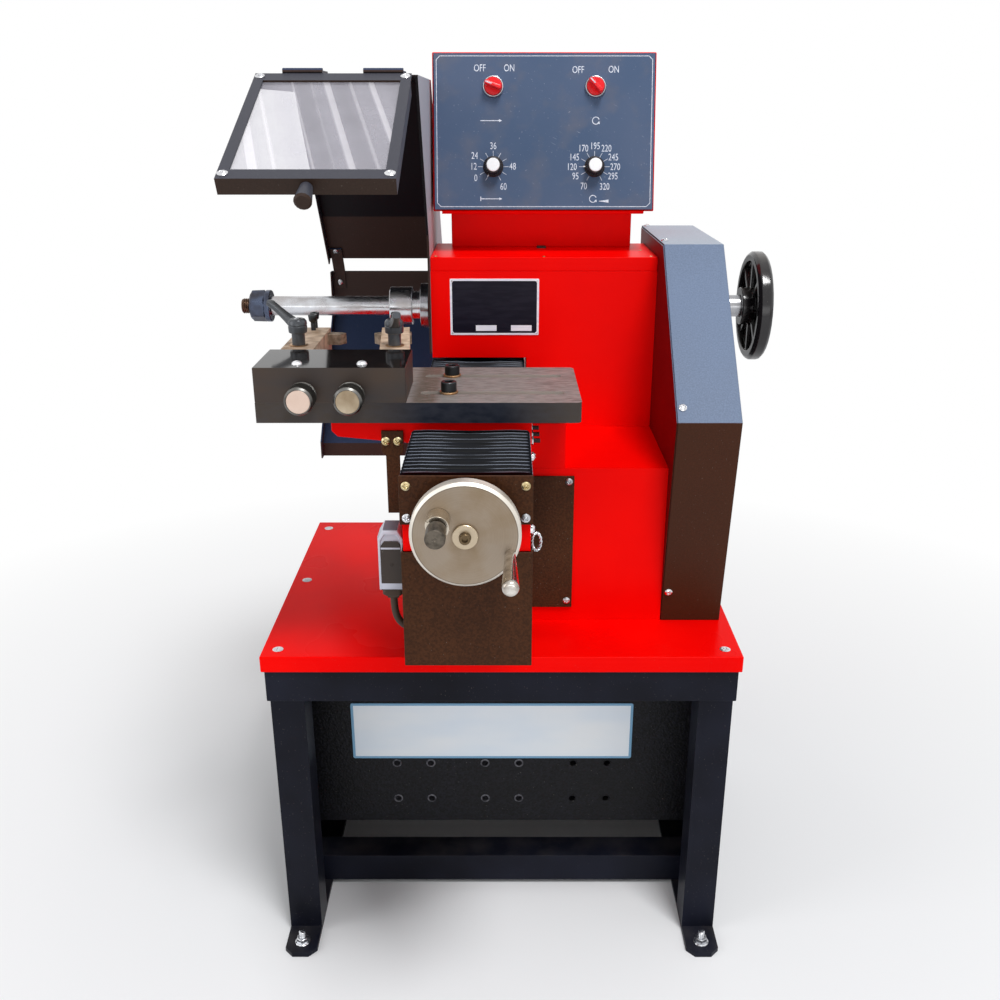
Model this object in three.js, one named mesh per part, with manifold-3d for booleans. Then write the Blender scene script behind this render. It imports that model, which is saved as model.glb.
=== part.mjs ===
// Brake disc lathe on a welded floor stand. A disc turns on the arbor while two cutters face both of its sides.
// Millimetres, +Z up, +X to the operator's right, -Y towards the operator.
// The pieces are placed from the middle of the stand; the whole machine is centred on its footprint at the end.
import * as THREE from "three";
import { mergeVertices } from "three/addons/utils/BufferGeometryUtils.js";
import Module from "manifold-3d";

const wasm = await Module();
wasm.setup();

// Values that many pieces share
const GAP = 0.3;
const PAST = 5;
const ROUND = 32;
const SMALL_ROUND = 16;
const KNOB_ROUND = 24;
const CORNER_STEPS = 4;
const degrees = Math.PI / 180;

// Driving dimensions, in millimetres
const table = { width: 550, depth: 410, top: 410, sheet: 3, lip: 20 };
const tube = { size: 40, railHeight: 57, legSetback: 16 };
const foot = { thickness: 6, overhang: 46, chamfer: 10, boltInset: 20, boltHole: 5.5 };
const standPanel = {
  sheet: 3,
  front: -76,
  low: 86,
  holeRadius: 5.2,
  holeRows: [122, 178],
  pairPitch: 117,
  holePitch: 45,
};
const lowerRail = { front: -100 };
const base = { left: -88, right: 192, front: -114, back: 204, top: 605, wall: 6 };
const access = { left: -66, right: 70, low: 443, high: 582 };
const coverPlate = { left: -80, right: 84, low: 429, high: 596, sheet: 3 };
const bed = {
  centre: -30.5,
  halfWidth: 57.5,
  front: -380,
  back: 150,
  bottom: 617,
  slabTop: 640,
  wayTop: 662,
  wayInner: 24,
  wayOuter: 40,
  slotFloor: 626,
  endWall: 8,
  endWallTop: 686,
  rearWall: 130,
};
const pedestal = { right: 73, back: 50, top: 658, uprightLeft: 34 };
const bedCover = { halfWidth: 59.5, front: -383, bottom: 501, sheet: 2 };
const clampPlate = { low: 644, high: 690, notch: 16 };
const pleats = { top: 690, depth: 5.5, sheet: 1.6, frontCount: 13, rearCount: 22 };
const screw = { height: 645, radius: 8, journal: 7, bore: 7.4, tip: 6, collar: 14, pulley: 14.6 };
const dial = { radius: 49, back: -398, face: -412, bevel: 3, bore: 6.4 };
const hubWasher = { radius: 11.5, thickness: 3, screwRadius: 5, screwHeight: 5 };
const crank = {
  x: 39,
  z: -17,
  pin: 2.5,
  bore: 2.9,
  rootRadius: 5,
  endRadius: 7.2,
  reach: 72,
  pinReach: 56,
  dome: 3,
};
const plunger = {
  x: -23,
  z: 16,
  collarRadius: 10.5,
  collarLength: 22,
  pin: 4,
  bore: 4.4,
  knobRadius: 8.75,
  reach: 47,
};
const feedMotor = {
  drop: 100,
  radius: 28,
  front: -346,
  back: -240,
  bracket: 8,
  shaft: 4,
  bore: 4.4,
  socket: 15,
};
const feedBelt = { front: -366, back: -356, thickness: 2.5, room: 2 };
const nut = { halfWidth: 15, front: -195, back: -155, bottom: 630, bore: 8.4 };
const slide = {
  front: -244,
  back: -105,
  top: 700,
  halfWidth: 61.5,
  wingTip: -170,
  wingLow: 683,
  wingRoot: 676,
  nose: 6,
};
const plate = {
  left: -242,
  right: 80,
  front: -254,
  back: -105,
  top: 721,
  corner: 6,
  slotRows: [-216, -145],
  slotLeft: -76,
  slotRight: 59,
  slotHalf: 6,
};
const clampBar = { x: -53, halfWidth: 10.5, ends: 11.5, bottom: 686.3, height: 10, pocketFit: 0.5 };
const capScrew = {
  shank: 5,
  washer: 9.5,
  washerHeight: 2,
  head: 8,
  headHeight: 10,
  socket: 4.6,
  socketDepth: 5,
};
const block = { right: -93, back: -171, top: 756, roof: 3, pocketFront: -210 };
const arm = {
  bottom: 721.3,
  top: 752,
  shoulder: 34,
  tailTop: 750,
  slotNear: 76,
  slotFar: 89,
  slotLow: 735.5,
  slotHigh: 748.5,
};
const lever = {
  stud: 5,
  bore: 5.4,
  stem: 7,
  stemTop: 766,
  hub: 10.2,
  hubTop: 781,
  reach: 46,
  tipLow: 789,
  tipHigh: 797,
  width: 9,
};
const depthKnob = {
  height: 730,
  shaft: 5,
  bore: 5.4,
  inner: -216,
  neck: 11,
  radius: 14,
  length: 31,
  bevel: 2,
};
const knobs = { left: -193, right: -146 };
const pocketHalf = { left: 15, right: 12.5 };
const leverHeadings = { left: 140, right: -80 };
const leftPivot = {
  x: -219,
  y: -132,
  angle: 0,
  offset: 1.5,
  halfWidth: 17.5,
  farEnd: 98,
  slotShift: 0,
  tailEnd: 73,
  tailHalf: 9,
  bitTail: 2,
  bitTip: 39,
};
const rightPivot = {
  x: -115,
  y: -134,
  angle: 5,
  offset: 0,
  halfWidth: 16,
  farEnd: 100,
  slotShift: 4,
  tailEnd: 66,
  tailHalf: 7,
  bitTail: 2,
  bitTip: -25,
};
const strap = {
  left: -120,
  right: -98,
  waistLeft: -116,
  waistRight: -102,
  low: 602,
  high: 690,
  waist: 668,
  thickness: 3,
};
const limitSwitch = { width: 24, front: -359, back: -334, low: 567, high: 629, boot: 11, bootInset: 5 };
const switchPlunger = { x: -109, z: 610, radius: 4, bore: 4.4, reach: 8, depth: 12 };
const cable = { radius: 3.5, sides: 8, steps: 12 };
const head = {
  front: 54,
  back: 196,
  top: 804,
  wall: 10,
  floor: 708,
  cutoutRight: 31,
  cutoutTop: 696,
  legWall: 10,
};
const lid = { height: 17, sheet: 3 };
const axis = { y: 125, z: 749 };
const spindle = {
  flange: 29,
  flangeLeft: -106,
  flangeRight: -95,
  radius: 25,
  hole: 26,
  shaft: 14,
  shaftEnd: 330,
};
const bearing = { inner: 25.4, outer: 36, housing: 36.4, width: 20, inset: 6, boss: 44 };
const arbor = {
  tip: -341,
  threadRadius: 10,
  shoulder: -302,
  radius: 12.5,
  collar: -146,
  collarRadius: 24.5,
  neck: -117,
  neckRadius: 19,
};
const arborNut = { bore: 10.5, acrossFlats: 36, left: -329, flangeLeft: -313, flange: 20.5 };
const handwheel = {
  left: 312,
  right: 341,
  rimLeft: 322,
  radius: 70,
  rim: 12,
  hub: 24,
  bore: 14.4,
  webLeft: 329,
  webRight: 336,
};
const wheelRibs = { count: 8, width: 7, depth: 4 };
const beltPlane = { left: 217, right: 233, flange: 3, lip: 6, thickness: 5 };
const spindlePulley = { radius: 80, bore: 14.4 };
const motor = {
  y: 45,
  z: 500,
  radius: 65,
  left: -40,
  right: 150,
  footWidth: 110,
  footLeft: -20,
  footRight: 120,
  footHeight: 50,
};
const motorShaft = { radius: 9.5, bore: 9.9, inner: 125, hole: 16, pulley: 28 };
const backPlate = { thickness: 6 };
const beltCover = {
  reveal: 1,
  right: 264,
  sheet: 2,
  top: 841,
  topFront: 18,
  topBack: 232,
  bendFront: -152,
  bendHeight: 670,
  bottomFront: -114,
  bottomBack: 204,
  shaftHole: 17,
};
const neck = {
  left: -66,
  right: 169,
  front: 156,
  back: 196,
  top: 872,
  sheet: 3,
  flangeFront: 103,
  flange: 4,
};
const controlBox = { left: -85, right: 189, front: 94, back: 214, top: 1056, lean: 12, sheet: 2, lip: 9 };
const panel = { thickness: 3, margin: 2 };
const selector = {
  bore: 4.4,
  stem: 4,
  stemDepth: 14,
  base: 11,
  baseHeight: 7,
  ridgeHeight: 15,
  ridgeWidth: 6,
  feedOff: 70,
  spindleOff: 45,
};
const pot = {
  bevel: 1,
  bore: 3.4,
  stem: 3,
  stemDepth: 10,
  skirt: 12.5,
  skirtHeight: 5,
  cap: 9.5,
  capHeight: 17,
};
const controls = { left: -62.5, right: 62.5, selectorUp: 147, potUp: 53 };
const guard = {
  left: -258,
  right: -91,
  sheet: 2,
  flange: 12,
  cheekRight: -88.3,
  cheekBottom: 702,
  cheekFront: 50,
  cheekKnee: 838,
};
const hood = { frontY: -55, frontZ: 1023, backY: 150, backZ: 1025, lowY: 331, lowZ: 783 };
const lowerGuard = { topY: 343, topZ: 763, bendY: 343, bendZ: 700, lowY: 175, lowZ: 544, lipZ: 525 };
const guardStrap = { left: -254, right: -237, low: 737, high: 800, thickness: 3 };
const hinge = {
  y: -60,
  z: 1028,
  radius: 3.5,
  leaf: 34,
  leafThickness: 2,
  spans: [[-230, -188], [-145, -103]],
};
const visor = {
  left: -258,
  right: -94,
  length: 222,
  sheet: 2,
  lip: 16,
  border: 17,
  side: 10.5,
  droop: 25,
  edge: 4.4,
};
const pane = { thickness: 3, lap: 8 };
const visorKnob = { x: -176, drop: 9, rootRadius: 6, endRadius: 8.5, length: 26, bevel: 2 };

// Finishes
function finish(color, roughness, metalness) {
  return new THREE.MeshStandardMaterial({ color, roughness, metalness, flatShading: true });
}
const redPaint = finish(0xd40a0a, 0.45, 0);
const blackPaint = finish(0x14161c, 0.4, 0);
const texturedBlack = finish(0x1b1a1a, 0.7, 0);
const blackRubber = finish(0x101113, 0.8, 0);
const blackPlastic = finish(0x17181a, 0.5, 0);
const bareSteel = finish(0x8f8b85, 0.4, 1);
const brightSteel = finish(0xc4c6ca, 0.2, 1);
const wornSteel = finish(0x7a6a58, 0.6, 0.8);
const darkSteel = finish(0x2c2e33, 0.45, 0.8);
const motorPaint = finish(0x3a4148, 0.5, 0);
const greyPlastic = finish(0x8b8e96, 0.5, 0);
const panelSlate = finish(0x3b4657, 0.5, 0);
const redPlastic = finish(0xd21a1a, 0.35, 0);
const clearLook = { color: 0xdfe3e6, roughness: 0.1, transparent: true, opacity: 0.35 };
const clearPlastic = new THREE.MeshStandardMaterial(clearLook);

// Geometry helpers

// A closed three.js geometry as a manifold-3d solid.
function solidOf(geometry) {
  const bare = geometry.clone();
  bare.deleteAttribute("normal");
  bare.deleteAttribute("uv");
  const merged = mergeVertices(bare);
  const vertProperties = new Float32Array(merged.attributes.position.array);
  const triVerts = new Uint32Array(merged.index.array);
  return new wasm.Manifold(new wasm.Mesh({ numProp: 3, vertProperties, triVerts }));
}

// A manifold-3d solid as a three.js geometry.
function geometryOf(solid) {
  const mesh = solid.getMesh();
  const geometry = new THREE.BufferGeometry();
  geometry.setAttribute("position", new THREE.BufferAttribute(mesh.vertProperties, mesh.numProp));
  geometry.setIndex(new THREE.BufferAttribute(mesh.triVerts, 1));
  return geometry;
}

// One solid made of all the given geometries.
function join(first, ...others) {
  return geometryOf(others.reduce((whole, other) => whole.add(solidOf(other)), solidOf(first)));
}

// The first geometry with the others cut away.
function cut(first, ...tools) {
  return geometryOf(tools.reduce((whole, tool) => whole.subtract(solidOf(tool)), solidOf(first)));
}

// A box between two values on each axis, given in either order.
function slab(x0, x1, y0, y1, z0, z1) {
  const box = new THREE.BoxGeometry(Math.abs(x1 - x0), Math.abs(y1 - y0), Math.abs(z1 - z0));
  return box.translate((x0 + x1) / 2, (y0 + y1) / 2, (z0 + z1) / 2);
}

// A geometry made along +Y is turned to run along the named axis, and moved sideways to its centre line.
function alongAxis(geometry, name, [u, v]) {
  if (name === "x") return geometry.rotateZ(-Math.PI / 2).translate(0, u, v);
  if (name === "y") return geometry.translate(u, 0, v);
  return geometry.rotateX(Math.PI / 2).translate(u, v, 0);
}

// A turned piece from its half profile, listed as [place along the axis, radius].
function turned(name, profile, centre, sides = ROUND) {
  const points = profile.map(([along, radius]) => new THREE.Vector2(radius, along));
  if (THREE.ShapeUtils.area(points) < 0) points.reverse();
  if (points[0].x > 0) points.push(points[0].clone());
  return alongAxis(new THREE.LatheGeometry(points, sides), name, centre);
}

// A plain round bar.
function rod(name, radius, start, end, centre, sides = ROUND) {
  const profile = [[start, 0], [start, radius], [end, radius], [end, 0]];
  return turned(name, profile, centre, sides);
}

// A ring with a through bore.
function ring(name, bore, radius, start, end, centre, sides = ROUND) {
  return turned(name, [[start, bore], [start, radius], [end, radius], [end, bore]], centre, sides);
}

// A flat outline pushed out along an axis. Its points are the other two coordinates, in X, Y, Z order.
function prism(name, outline, start, end, holes = []) {
  const shape = new THREE.Shape(outline.map(([u, v]) => new THREE.Vector2(u, v)));
  shape.holes = holes.map((hole) => new THREE.Path(hole.map(([u, v]) => new THREE.Vector2(u, v))));
  const low = Math.min(start, end);
  const high = Math.max(start, end);
  const geometry = new THREE.ExtrudeGeometry(shape, { depth: high - low, bevelEnabled: false });
  const basis = new THREE.Matrix4();
  if (name === "x") basis.set(0, 0, 1, low, 1, 0, 0, 0, 0, 1, 0, 0, 0, 0, 0, 1);
  if (name === "y") basis.set(1, 0, 0, 0, 0, 0, -1, high, 0, 1, 0, 0, 0, 0, 0, 1);
  if (name === "z") basis.set(1, 0, 0, 0, 0, 1, 0, 0, 0, 0, 1, low, 0, 0, 0, 1);
  return geometry.applyMatrix4(basis);
}

// Points on an arc, both ends included.
function arc([u, v], radius, from, to, steps) {
  return Array.from({ length: steps + 1 }, (_, i) => {
    const angle = from + ((to - from) * i) / steps;
    return [u + radius * Math.cos(angle), v + radius * Math.sin(angle)];
  });
}

// A full circle of points.
function circle(centre, radius, sides) {
  return arc(centre, radius, 0, 2 * Math.PI, sides).slice(1);
}

// A slot with round ends that runs along the first coordinate.
function slotOutline(u0, u1, v, half) {
  const right = arc([u1, v], half, -Math.PI / 2, Math.PI / 2, SMALL_ROUND / 2);
  const left = arc([u0, v], half, Math.PI / 2, (3 * Math.PI) / 2, SMALL_ROUND / 2);
  return [...right, ...left];
}

// The closed line round two circles, as a belt lies on two pulleys. Its flats touch the circles from outside.
function beltLine(first, firstRadius, second, secondRadius, steps) {
  const run = Math.hypot(second[0] - first[0], second[1] - first[1]);
  const heading = Math.atan2(second[1] - first[1], second[0] - first[0]);
  const spread = Math.acos((firstRadius - secondRadius) / run);
  const nearRadius = firstRadius / Math.cos((Math.PI - spread) / steps);
  const farRadius = secondRadius / Math.cos(spread / steps);
  const near = arc(first, nearRadius, heading + spread, heading + 2 * Math.PI - spread, steps);
  const far = arc(second, farRadius, heading - spread, heading + spread, steps);
  return [...near, ...far];
}

// A belt of the given thickness on two pulleys.
function belt(name, first, firstRadius, second, secondRadius, thickness, start, end) {
  const inside = beltLine(first, firstRadius + GAP, second, secondRadius + GAP, ROUND / 2);
  const outer = thickness + GAP;
  const outside = beltLine(first, firstRadius + outer, second, secondRadius + outer, ROUND / 2);
  return prism(name, outside, start, end, [inside]);
}

// The outline of a bent sheet: a run of points and the same run moved sideways by its thickness, mitred.
function bentSheet(points, thickness) {
  const normals = points.slice(1).map(([u, v], i) => {
    const length = Math.hypot(u - points[i][0], v - points[i][1]);
    return [-(v - points[i][1]) / length, (u - points[i][0]) / length];
  });
  const moved = points.map(([u, v], i) => {
    const before = normals[Math.max(i - 1, 0)];
    const after = normals[Math.min(i, normals.length - 1)];
    const sum = [before[0] + after[0], before[1] + after[1]];
    const scale = (2 * thickness) / (sum[0] * sum[0] + sum[1] * sum[1]);
    return [u + sum[0] * scale, v + sum[1] * scale];
  });
  return [...points, ...moved.reverse()];
}

// One named piece of the machine.
function piece(name, geometry, material, parent = machine) {
  const mesh = new THREE.Mesh(geometry, material);
  mesh.name = name;
  geometry.computeVertexNormals();
  parent.add(mesh);
  return mesh;
}

// A group that carries pieces made in its own turned frame.
function turnedGroup(x, y, z, rotateX, rotateZ) {
  const group = new THREE.Group();
  group.position.set(x, y, z);
  group.rotation.set(rotateX, 0, rotateZ);
  machine.add(group);
  return group;
}

const machine = new THREE.Group();

// Stand: a ring of rails under the table, two welded side frames, a cross rail and two closing sheets
const frameHalfX = table.width / 2 - table.sheet - GAP;
const frameHalfY = table.depth / 2 - table.sheet - GAP;
const frameTop = table.top - table.sheet;
const railBottom = frameTop - tube.railHeight;
const legFace = frameHalfY - tube.legSetback;
const footEnd = legFace + foot.overhang;
const innerX = frameHalfX - tube.size;
const innerY = frameHalfY - tube.size;

piece(
  "stand_top_frame",
  cut(
    slab(-frameHalfX, frameHalfX, -frameHalfY, frameHalfY, railBottom, frameTop),
    slab(-innerX, innerX, -innerY, innerY, railBottom - PAST, frameTop + PAST),
  ),
  blackPaint,
);

// Two legs, the foot bar that they stand on and the sheet between them, welded.
function sideFrame(side) {
  const outer = side * frameHalfX;
  const inner = side * innerX;
  const left = Math.min(outer, inner);
  const right = Math.max(outer, inner);
  const barOutline = [
    [left + foot.chamfer, -footEnd],
    [right - foot.chamfer, -footEnd],
    [right, -footEnd + foot.chamfer],
    [right, footEnd - foot.chamfer],
    [right - foot.chamfer, footEnd],
    [left + foot.chamfer, footEnd],
    [left, footEnd - foot.chamfer],
    [left, -footEnd + foot.chamfer],
  ];
  const boltHoles = [-1, 1].map((end) =>
    circle([(left + right) / 2, end * (footEnd - foot.boltInset)], foot.boltHole, SMALL_ROUND),
  );
  const bar = prism("z", barOutline, 0, foot.thickness, boltHoles);
  const legs = [-1, 1].map((end) =>
    slab(outer, inner, end * legFace, end * (legFace - tube.size), foot.thickness / 2, railBottom),
  );
  const panelEdge = legFace - tube.size / 2;
  const sheet = slab(
    outer,
    outer - side * standPanel.sheet,
    -panelEdge,
    panelEdge,
    foot.thickness / 2,
    railBottom,
  );
  return join(bar, ...legs, sheet);
}
piece("stand_side_left", sideFrame(-1), blackPaint);
piece("stand_side_right", sideFrame(1), blackPaint);

const betweenSides = frameHalfX - standPanel.sheet - GAP;
piece(
  "stand_lower_rail",
  slab(
    -betweenSides,
    betweenSides,
    lowerRail.front,
    lowerRail.front + tube.size,
    foot.thickness,
    foot.thickness + tube.size,
  ),
  blackPaint,
);

const panelShoulder = railBottom - GAP;
const panelTop = frameTop - GAP;
const panelInner = innerX - GAP;
const panelOutline = [
  [-betweenSides, standPanel.low],
  [betweenSides, standPanel.low],
  [betweenSides, panelShoulder],
  [panelInner, panelShoulder],
  [panelInner, panelTop],
  [-panelInner, panelTop],
  [-panelInner, panelShoulder],
  [-betweenSides, panelShoulder],
];
const panelHoles = standPanel.holeRows.flatMap((z) =>
  [-1, 0, 1].flatMap((pair) =>
    [-1, 1].map((half) =>
      circle(
        [pair * standPanel.pairPitch + (half * standPanel.holePitch) / 2, z],
        standPanel.holeRadius,
        SMALL_ROUND,
      ),
    ),
  ),
);
piece(
  "stand_front_panel",
  prism("y", panelOutline, standPanel.front, standPanel.front + standPanel.sheet, panelHoles),
  texturedBlack,
);
piece(
  "stand_back_panel",
  slab(-panelInner, panelInner, legFace - standPanel.sheet, legFace, foot.thickness + tube.size, panelShoulder),
  blackPaint,
);

// Table: a red sheet folded down on all four sides over the frame
piece(
  "table_top",
  cut(
    slab(
      -table.width / 2,
      table.width / 2,
      -table.depth / 2,
      table.depth / 2,
      table.top - table.lip,
      table.top,
    ),
    slab(
      -table.width / 2 + table.sheet,
      table.width / 2 - table.sheet,
      -table.depth / 2 + table.sheet,
      table.depth / 2 - table.sheet,
      table.top - table.lip - PAST,
      frameTop,
    ),
  ),
  redPaint,
);

// Base housing: a red box, open below, that holds the spindle motor, with a plate over its access hole
const motorAxis = [motor.y, motor.z];
piece(
  "base_housing",
  cut(
    slab(base.left, base.right, base.front, base.back, table.top, base.top),
    slab(
      base.left + base.wall,
      base.right - base.wall,
      base.front + base.wall,
      base.back - base.wall,
      table.top - PAST,
      base.top - base.wall,
    ),
    slab(access.left, access.right, base.front - PAST, base.front + base.wall + PAST, access.low, access.high),
    rod("x", motorShaft.hole, base.right - base.wall - PAST, base.right + PAST, motorAxis),
  ),
  redPaint,
);
piece(
  "base_cover_plate",
  slab(
    coverPlate.left,
    coverPlate.right,
    base.front - coverPlate.sheet,
    base.front,
    coverPlate.low,
    coverPlate.high,
  ),
  texturedBlack,
);

// Cross-slide bed: one casting with two ways, a channel for the feed screw and a pedestal on the base
const screwAxis = [bed.centre, screw.height];
const bedLeft = bed.centre - bed.halfWidth;
const bedRight = bed.centre + bed.halfWidth;
const frontWallBack = bed.front + bed.endWall;
const rearWallBack = bed.rearWall + bed.endWall;
const beltWell = {
  halfWidth: screw.pulley + feedBelt.thickness + 3 * GAP + feedBelt.room,
  back: feedBelt.back + PAST,
};
const ways = [-1, 1].map((side) =>
  slab(
    bed.centre + side * bed.wayInner,
    bed.centre + side * bed.wayOuter,
    bed.front + bed.endWall / 2,
    bed.back,
    bed.slabTop - bed.endWall,
    bed.wayTop,
  ),
);
const bedBody = join(
  slab(bedLeft, bedRight, bed.front, bed.back, bed.bottom, bed.slabTop),
  slab(bedLeft, bedRight, base.front, bed.back, base.top, bed.slabTop),
  slab(base.left, pedestal.right, base.front, pedestal.back, base.top, bed.slabTop),
  slab(pedestal.uprightLeft, pedestal.right, base.front, pedestal.back, base.top, pedestal.top),
  slab(bedLeft, bedRight, bed.front, frontWallBack, bed.bottom, bed.endWallTop),
  ...ways,
);
const bedChannel = slab(
  bed.centre - bed.wayInner,
  bed.centre + bed.wayInner,
  frontWallBack,
  bed.back + PAST,
  bed.slotFloor,
  bed.wayTop + PAST,
);
const screwBore = rod("y", screw.bore, bed.front - PAST, bed.back + PAST, screwAxis, SMALL_ROUND);
const bedCast = join(
  cut(
    bedBody,
    bedChannel,
    slab(
      bed.centre - beltWell.halfWidth,
      bed.centre + beltWell.halfWidth,
      frontWallBack,
      beltWell.back,
      bed.bottom - PAST,
      bed.slabTop,
    ),
  ),
  slab(
    bed.centre - bed.wayOuter,
    bed.centre + bed.wayOuter,
    bed.rearWall,
    rearWallBack,
    bed.slotFloor - bed.endWall / 2,
    bed.endWallTop,
  ),
);
piece("bed_casting", cut(bedCast, screwBore), redPaint);

// A folded tray under the front of the bed that covers the feed motor, open above and behind.
const bedCoverLeft = bed.centre - bedCover.halfWidth;
const bedCoverRight = bed.centre + bedCover.halfWidth;
piece(
  "bed_front_cover",
  cut(
    slab(
      bedCoverLeft,
      bedCoverRight,
      bedCover.front,
      base.front - coverPlate.sheet,
      bedCover.bottom,
      bed.bottom,
    ),
    slab(
      bedCoverLeft + bedCover.sheet,
      bedCoverRight - bedCover.sheet,
      bedCover.front + bedCover.sheet,
      base.front + PAST,
      bedCover.bottom + bedCover.sheet,
      bed.bottom + PAST,
    ),
  ),
  texturedBlack,
);

// Clamp plate: holds the front edge of the pleated cover, with a notch round the screw.
piece(
  "bellows_clamp_plate",
  cut(
    slab(bedCoverLeft, bedCoverRight, bedCover.front, bed.front, clampPlate.low, clampPlate.high),
    rod("y", clampPlate.notch, bedCover.front - PAST, bed.front + PAST, screwAxis),
  ),
  texturedBlack,
);

// Pleated way covers: a folded sheet over the ways whose top and sides step in and out at each pleat
function pleatedCover(start, end, count) {
  const stations = 2 * count + 1;
  const foldAt = (i) => {
    const inward = i % 2 === 0 ? 0 : pleats.depth;
    const y = start + ((end - start) * i) / (stations - 1);
    const low = bed.slabTop + GAP;
    const half = bedCover.halfWidth - inward;
    const top = pleats.top - inward;
    const innerHalf = half - pleats.sheet;
    const innerTop = top - pleats.sheet;
    const loop = [[-half, low], [-half, top], [half, top], [half, low]];
    loop.push([innerHalf, low], [innerHalf, innerTop], [-innerHalf, innerTop], [-innerHalf, low]);
    return loop.map(([x, z]) => [bed.centre + x, y, z]);
  };
  const rows = Array.from({ length: stations }, (_, i) => foldAt(i));
  const size = rows[0].length;
  const faces = [];
  for (let i = 0; i + 1 < stations; i += 1) {
    for (let j = 0; j < size; j += 1) {
      const a = i * size + j;
      const b = i * size + ((j + 1) % size);
      faces.push(a, b, b + size, a, b + size, a + size);
    }
  }
  const last = (stations - 1) * size;
  for (let j = 0; j + 1 < size / 2; j += 1) {
    const [a, b, c, d] = [j, j + 1, size - 2 - j, size - 1 - j];
    faces.push(a, c, b, a, d, c, last + a, last + b, last + c, last + a, last + c, last + d);
  }
  const geometry = new THREE.BufferGeometry();
  geometry.setAttribute("position", new THREE.Float32BufferAttribute(rows.flat(2), 3));
  geometry.setIndex(faces);
  return geometry;
}
piece("front_bellows", pleatedCover(frontWallBack + GAP, slide.front - GAP, pleats.frontCount), blackRubber);
piece("rear_bellows", pleatedCover(slide.back + GAP, bed.rearWall - GAP, pleats.rearCount), blackRubber);

// Feed screw with its collar and pulley, the crank dial on its nose and the hub washer that holds the dial
const washerFace = dial.face - GAP - hubWasher.thickness;
piece(
  "feed_screw",
  turned(
    "y",
    [
      [rearWallBack, 0],
      [rearWallBack, screw.tip],
      [bed.rearWall - PAST, screw.tip],
      [bed.rearWall - 2 * PAST, screw.radius],
      [feedBelt.back + PAST, screw.radius],
      [feedBelt.back, screw.radius],
      [feedBelt.back, screw.pulley],
      [feedBelt.front, screw.pulley],
      [feedBelt.front, screw.journal],
      [bedCover.front - GAP, screw.journal],
      [bedCover.front - GAP, screw.collar],
      [dial.back + GAP, screw.collar],
      [dial.back + GAP, screw.tip],
      [dial.face - GAP, screw.tip],
      [dial.face - GAP, hubWasher.radius],
      [washerFace, hubWasher.radius],
      [washerFace, hubWasher.screwRadius],
      [washerFace - hubWasher.screwHeight, hubWasher.screwRadius],
      [washerFace - hubWasher.screwHeight, 0],
    ],
    screwAxis,
    SMALL_ROUND,
  ),
  brightSteel,
);

const plungerAxis = [bed.centre + plunger.x, screw.height + plunger.z];
const crankAxis = [bed.centre + crank.x, screw.height + crank.z];
const collarFace = dial.face - plunger.collarLength;
const dialDisc = turned(
  "y",
  [
    [dial.back, dial.bore],
    [dial.back, dial.radius],
    [dial.face + dial.bevel, dial.radius],
    [dial.face, dial.radius - dial.bevel],
    [dial.face, dial.bore],
  ],
  screwAxis,
);
piece(
  "feed_dial",
  cut(
    join(
      dialDisc,
      rod("y", plunger.collarRadius, collarFace, dial.back - dial.bevel, plungerAxis, SMALL_ROUND),
      rod("y", crank.pin, dial.face - crank.pinReach, dial.back - dial.bevel, crankAxis, SMALL_ROUND),
    ),
    rod("y", plunger.bore, collarFace - PAST, dial.back + PAST, plungerAxis, SMALL_ROUND),
  ),
  bareSteel,
);
const handleRoot = dial.face - GAP;
const handleEnd = dial.face - crank.reach;
const boreEnd = dial.face - crank.pinReach - GAP;
piece(
  "crank_handle",
  turned(
    "y",
    [
      [boreEnd, 0],
      [boreEnd, crank.bore],
      [handleRoot, crank.bore],
      [handleRoot, crank.rootRadius],
      [handleEnd + 3 * crank.dome, crank.endRadius],
      [handleEnd + crank.dome, crank.endRadius - crank.dome / 3],
      [handleEnd, crank.endRadius - crank.dome],
      [handleEnd, 0],
    ],
    crankAxis,
    SMALL_ROUND,
  ),
  brightSteel,
);
const plungerEnd = dial.face - plunger.reach;
const knobBack = collarFace - dial.bevel;
piece(
  "feed_plunger",
  turned(
    "y",
    [
      [dial.back - dial.bevel / 2, 0],
      [dial.back - dial.bevel / 2, plunger.pin],
      [knobBack, plunger.pin],
      [knobBack, plunger.knobRadius],
      [plungerEnd + dial.bevel / 2, plunger.knobRadius],
      [plungerEnd, plunger.knobRadius - dial.bevel / 2],
      [plungerEnd, 0],
    ],
    plungerAxis,
    SMALL_ROUND,
  ),
  darkSteel,
);

// Feed motor under the bed, with its pulley and the belt up to the screw
const feedMotorAxis = [bed.centre, screw.height - feedMotor.drop];
piece(
  "feed_motor",
  cut(
    join(
      rod("y", feedMotor.radius, feedMotor.front, feedMotor.back, feedMotorAxis),
      slab(
        bed.centre - feedMotor.radius,
        bed.centre + feedMotor.radius,
        feedMotor.front,
        feedMotor.front + feedMotor.bracket,
        feedMotorAxis[1],
        bed.bottom,
      ),
    ),
    rod(
      "y",
      feedMotor.bore,
      feedMotor.front - PAST,
      feedMotor.front + feedMotor.socket,
      feedMotorAxis,
      SMALL_ROUND,
    ),
  ),
  motorPaint,
);
piece(
  "feed_motor_pulley",
  turned(
    "y",
    [
      [feedMotor.front + feedMotor.socket - GAP, 0],
      [feedMotor.front + feedMotor.socket - GAP, feedMotor.shaft],
      [feedBelt.back, feedMotor.shaft],
      [feedBelt.back, screw.pulley],
      [feedBelt.front, screw.pulley],
      [feedBelt.front, feedMotor.shaft],
      [feedBelt.front - PAST, feedMotor.shaft],
      [feedBelt.front - PAST, 0],
    ],
    feedMotorAxis,
    SMALL_ROUND,
  ),
  bareSteel,
);
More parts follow.
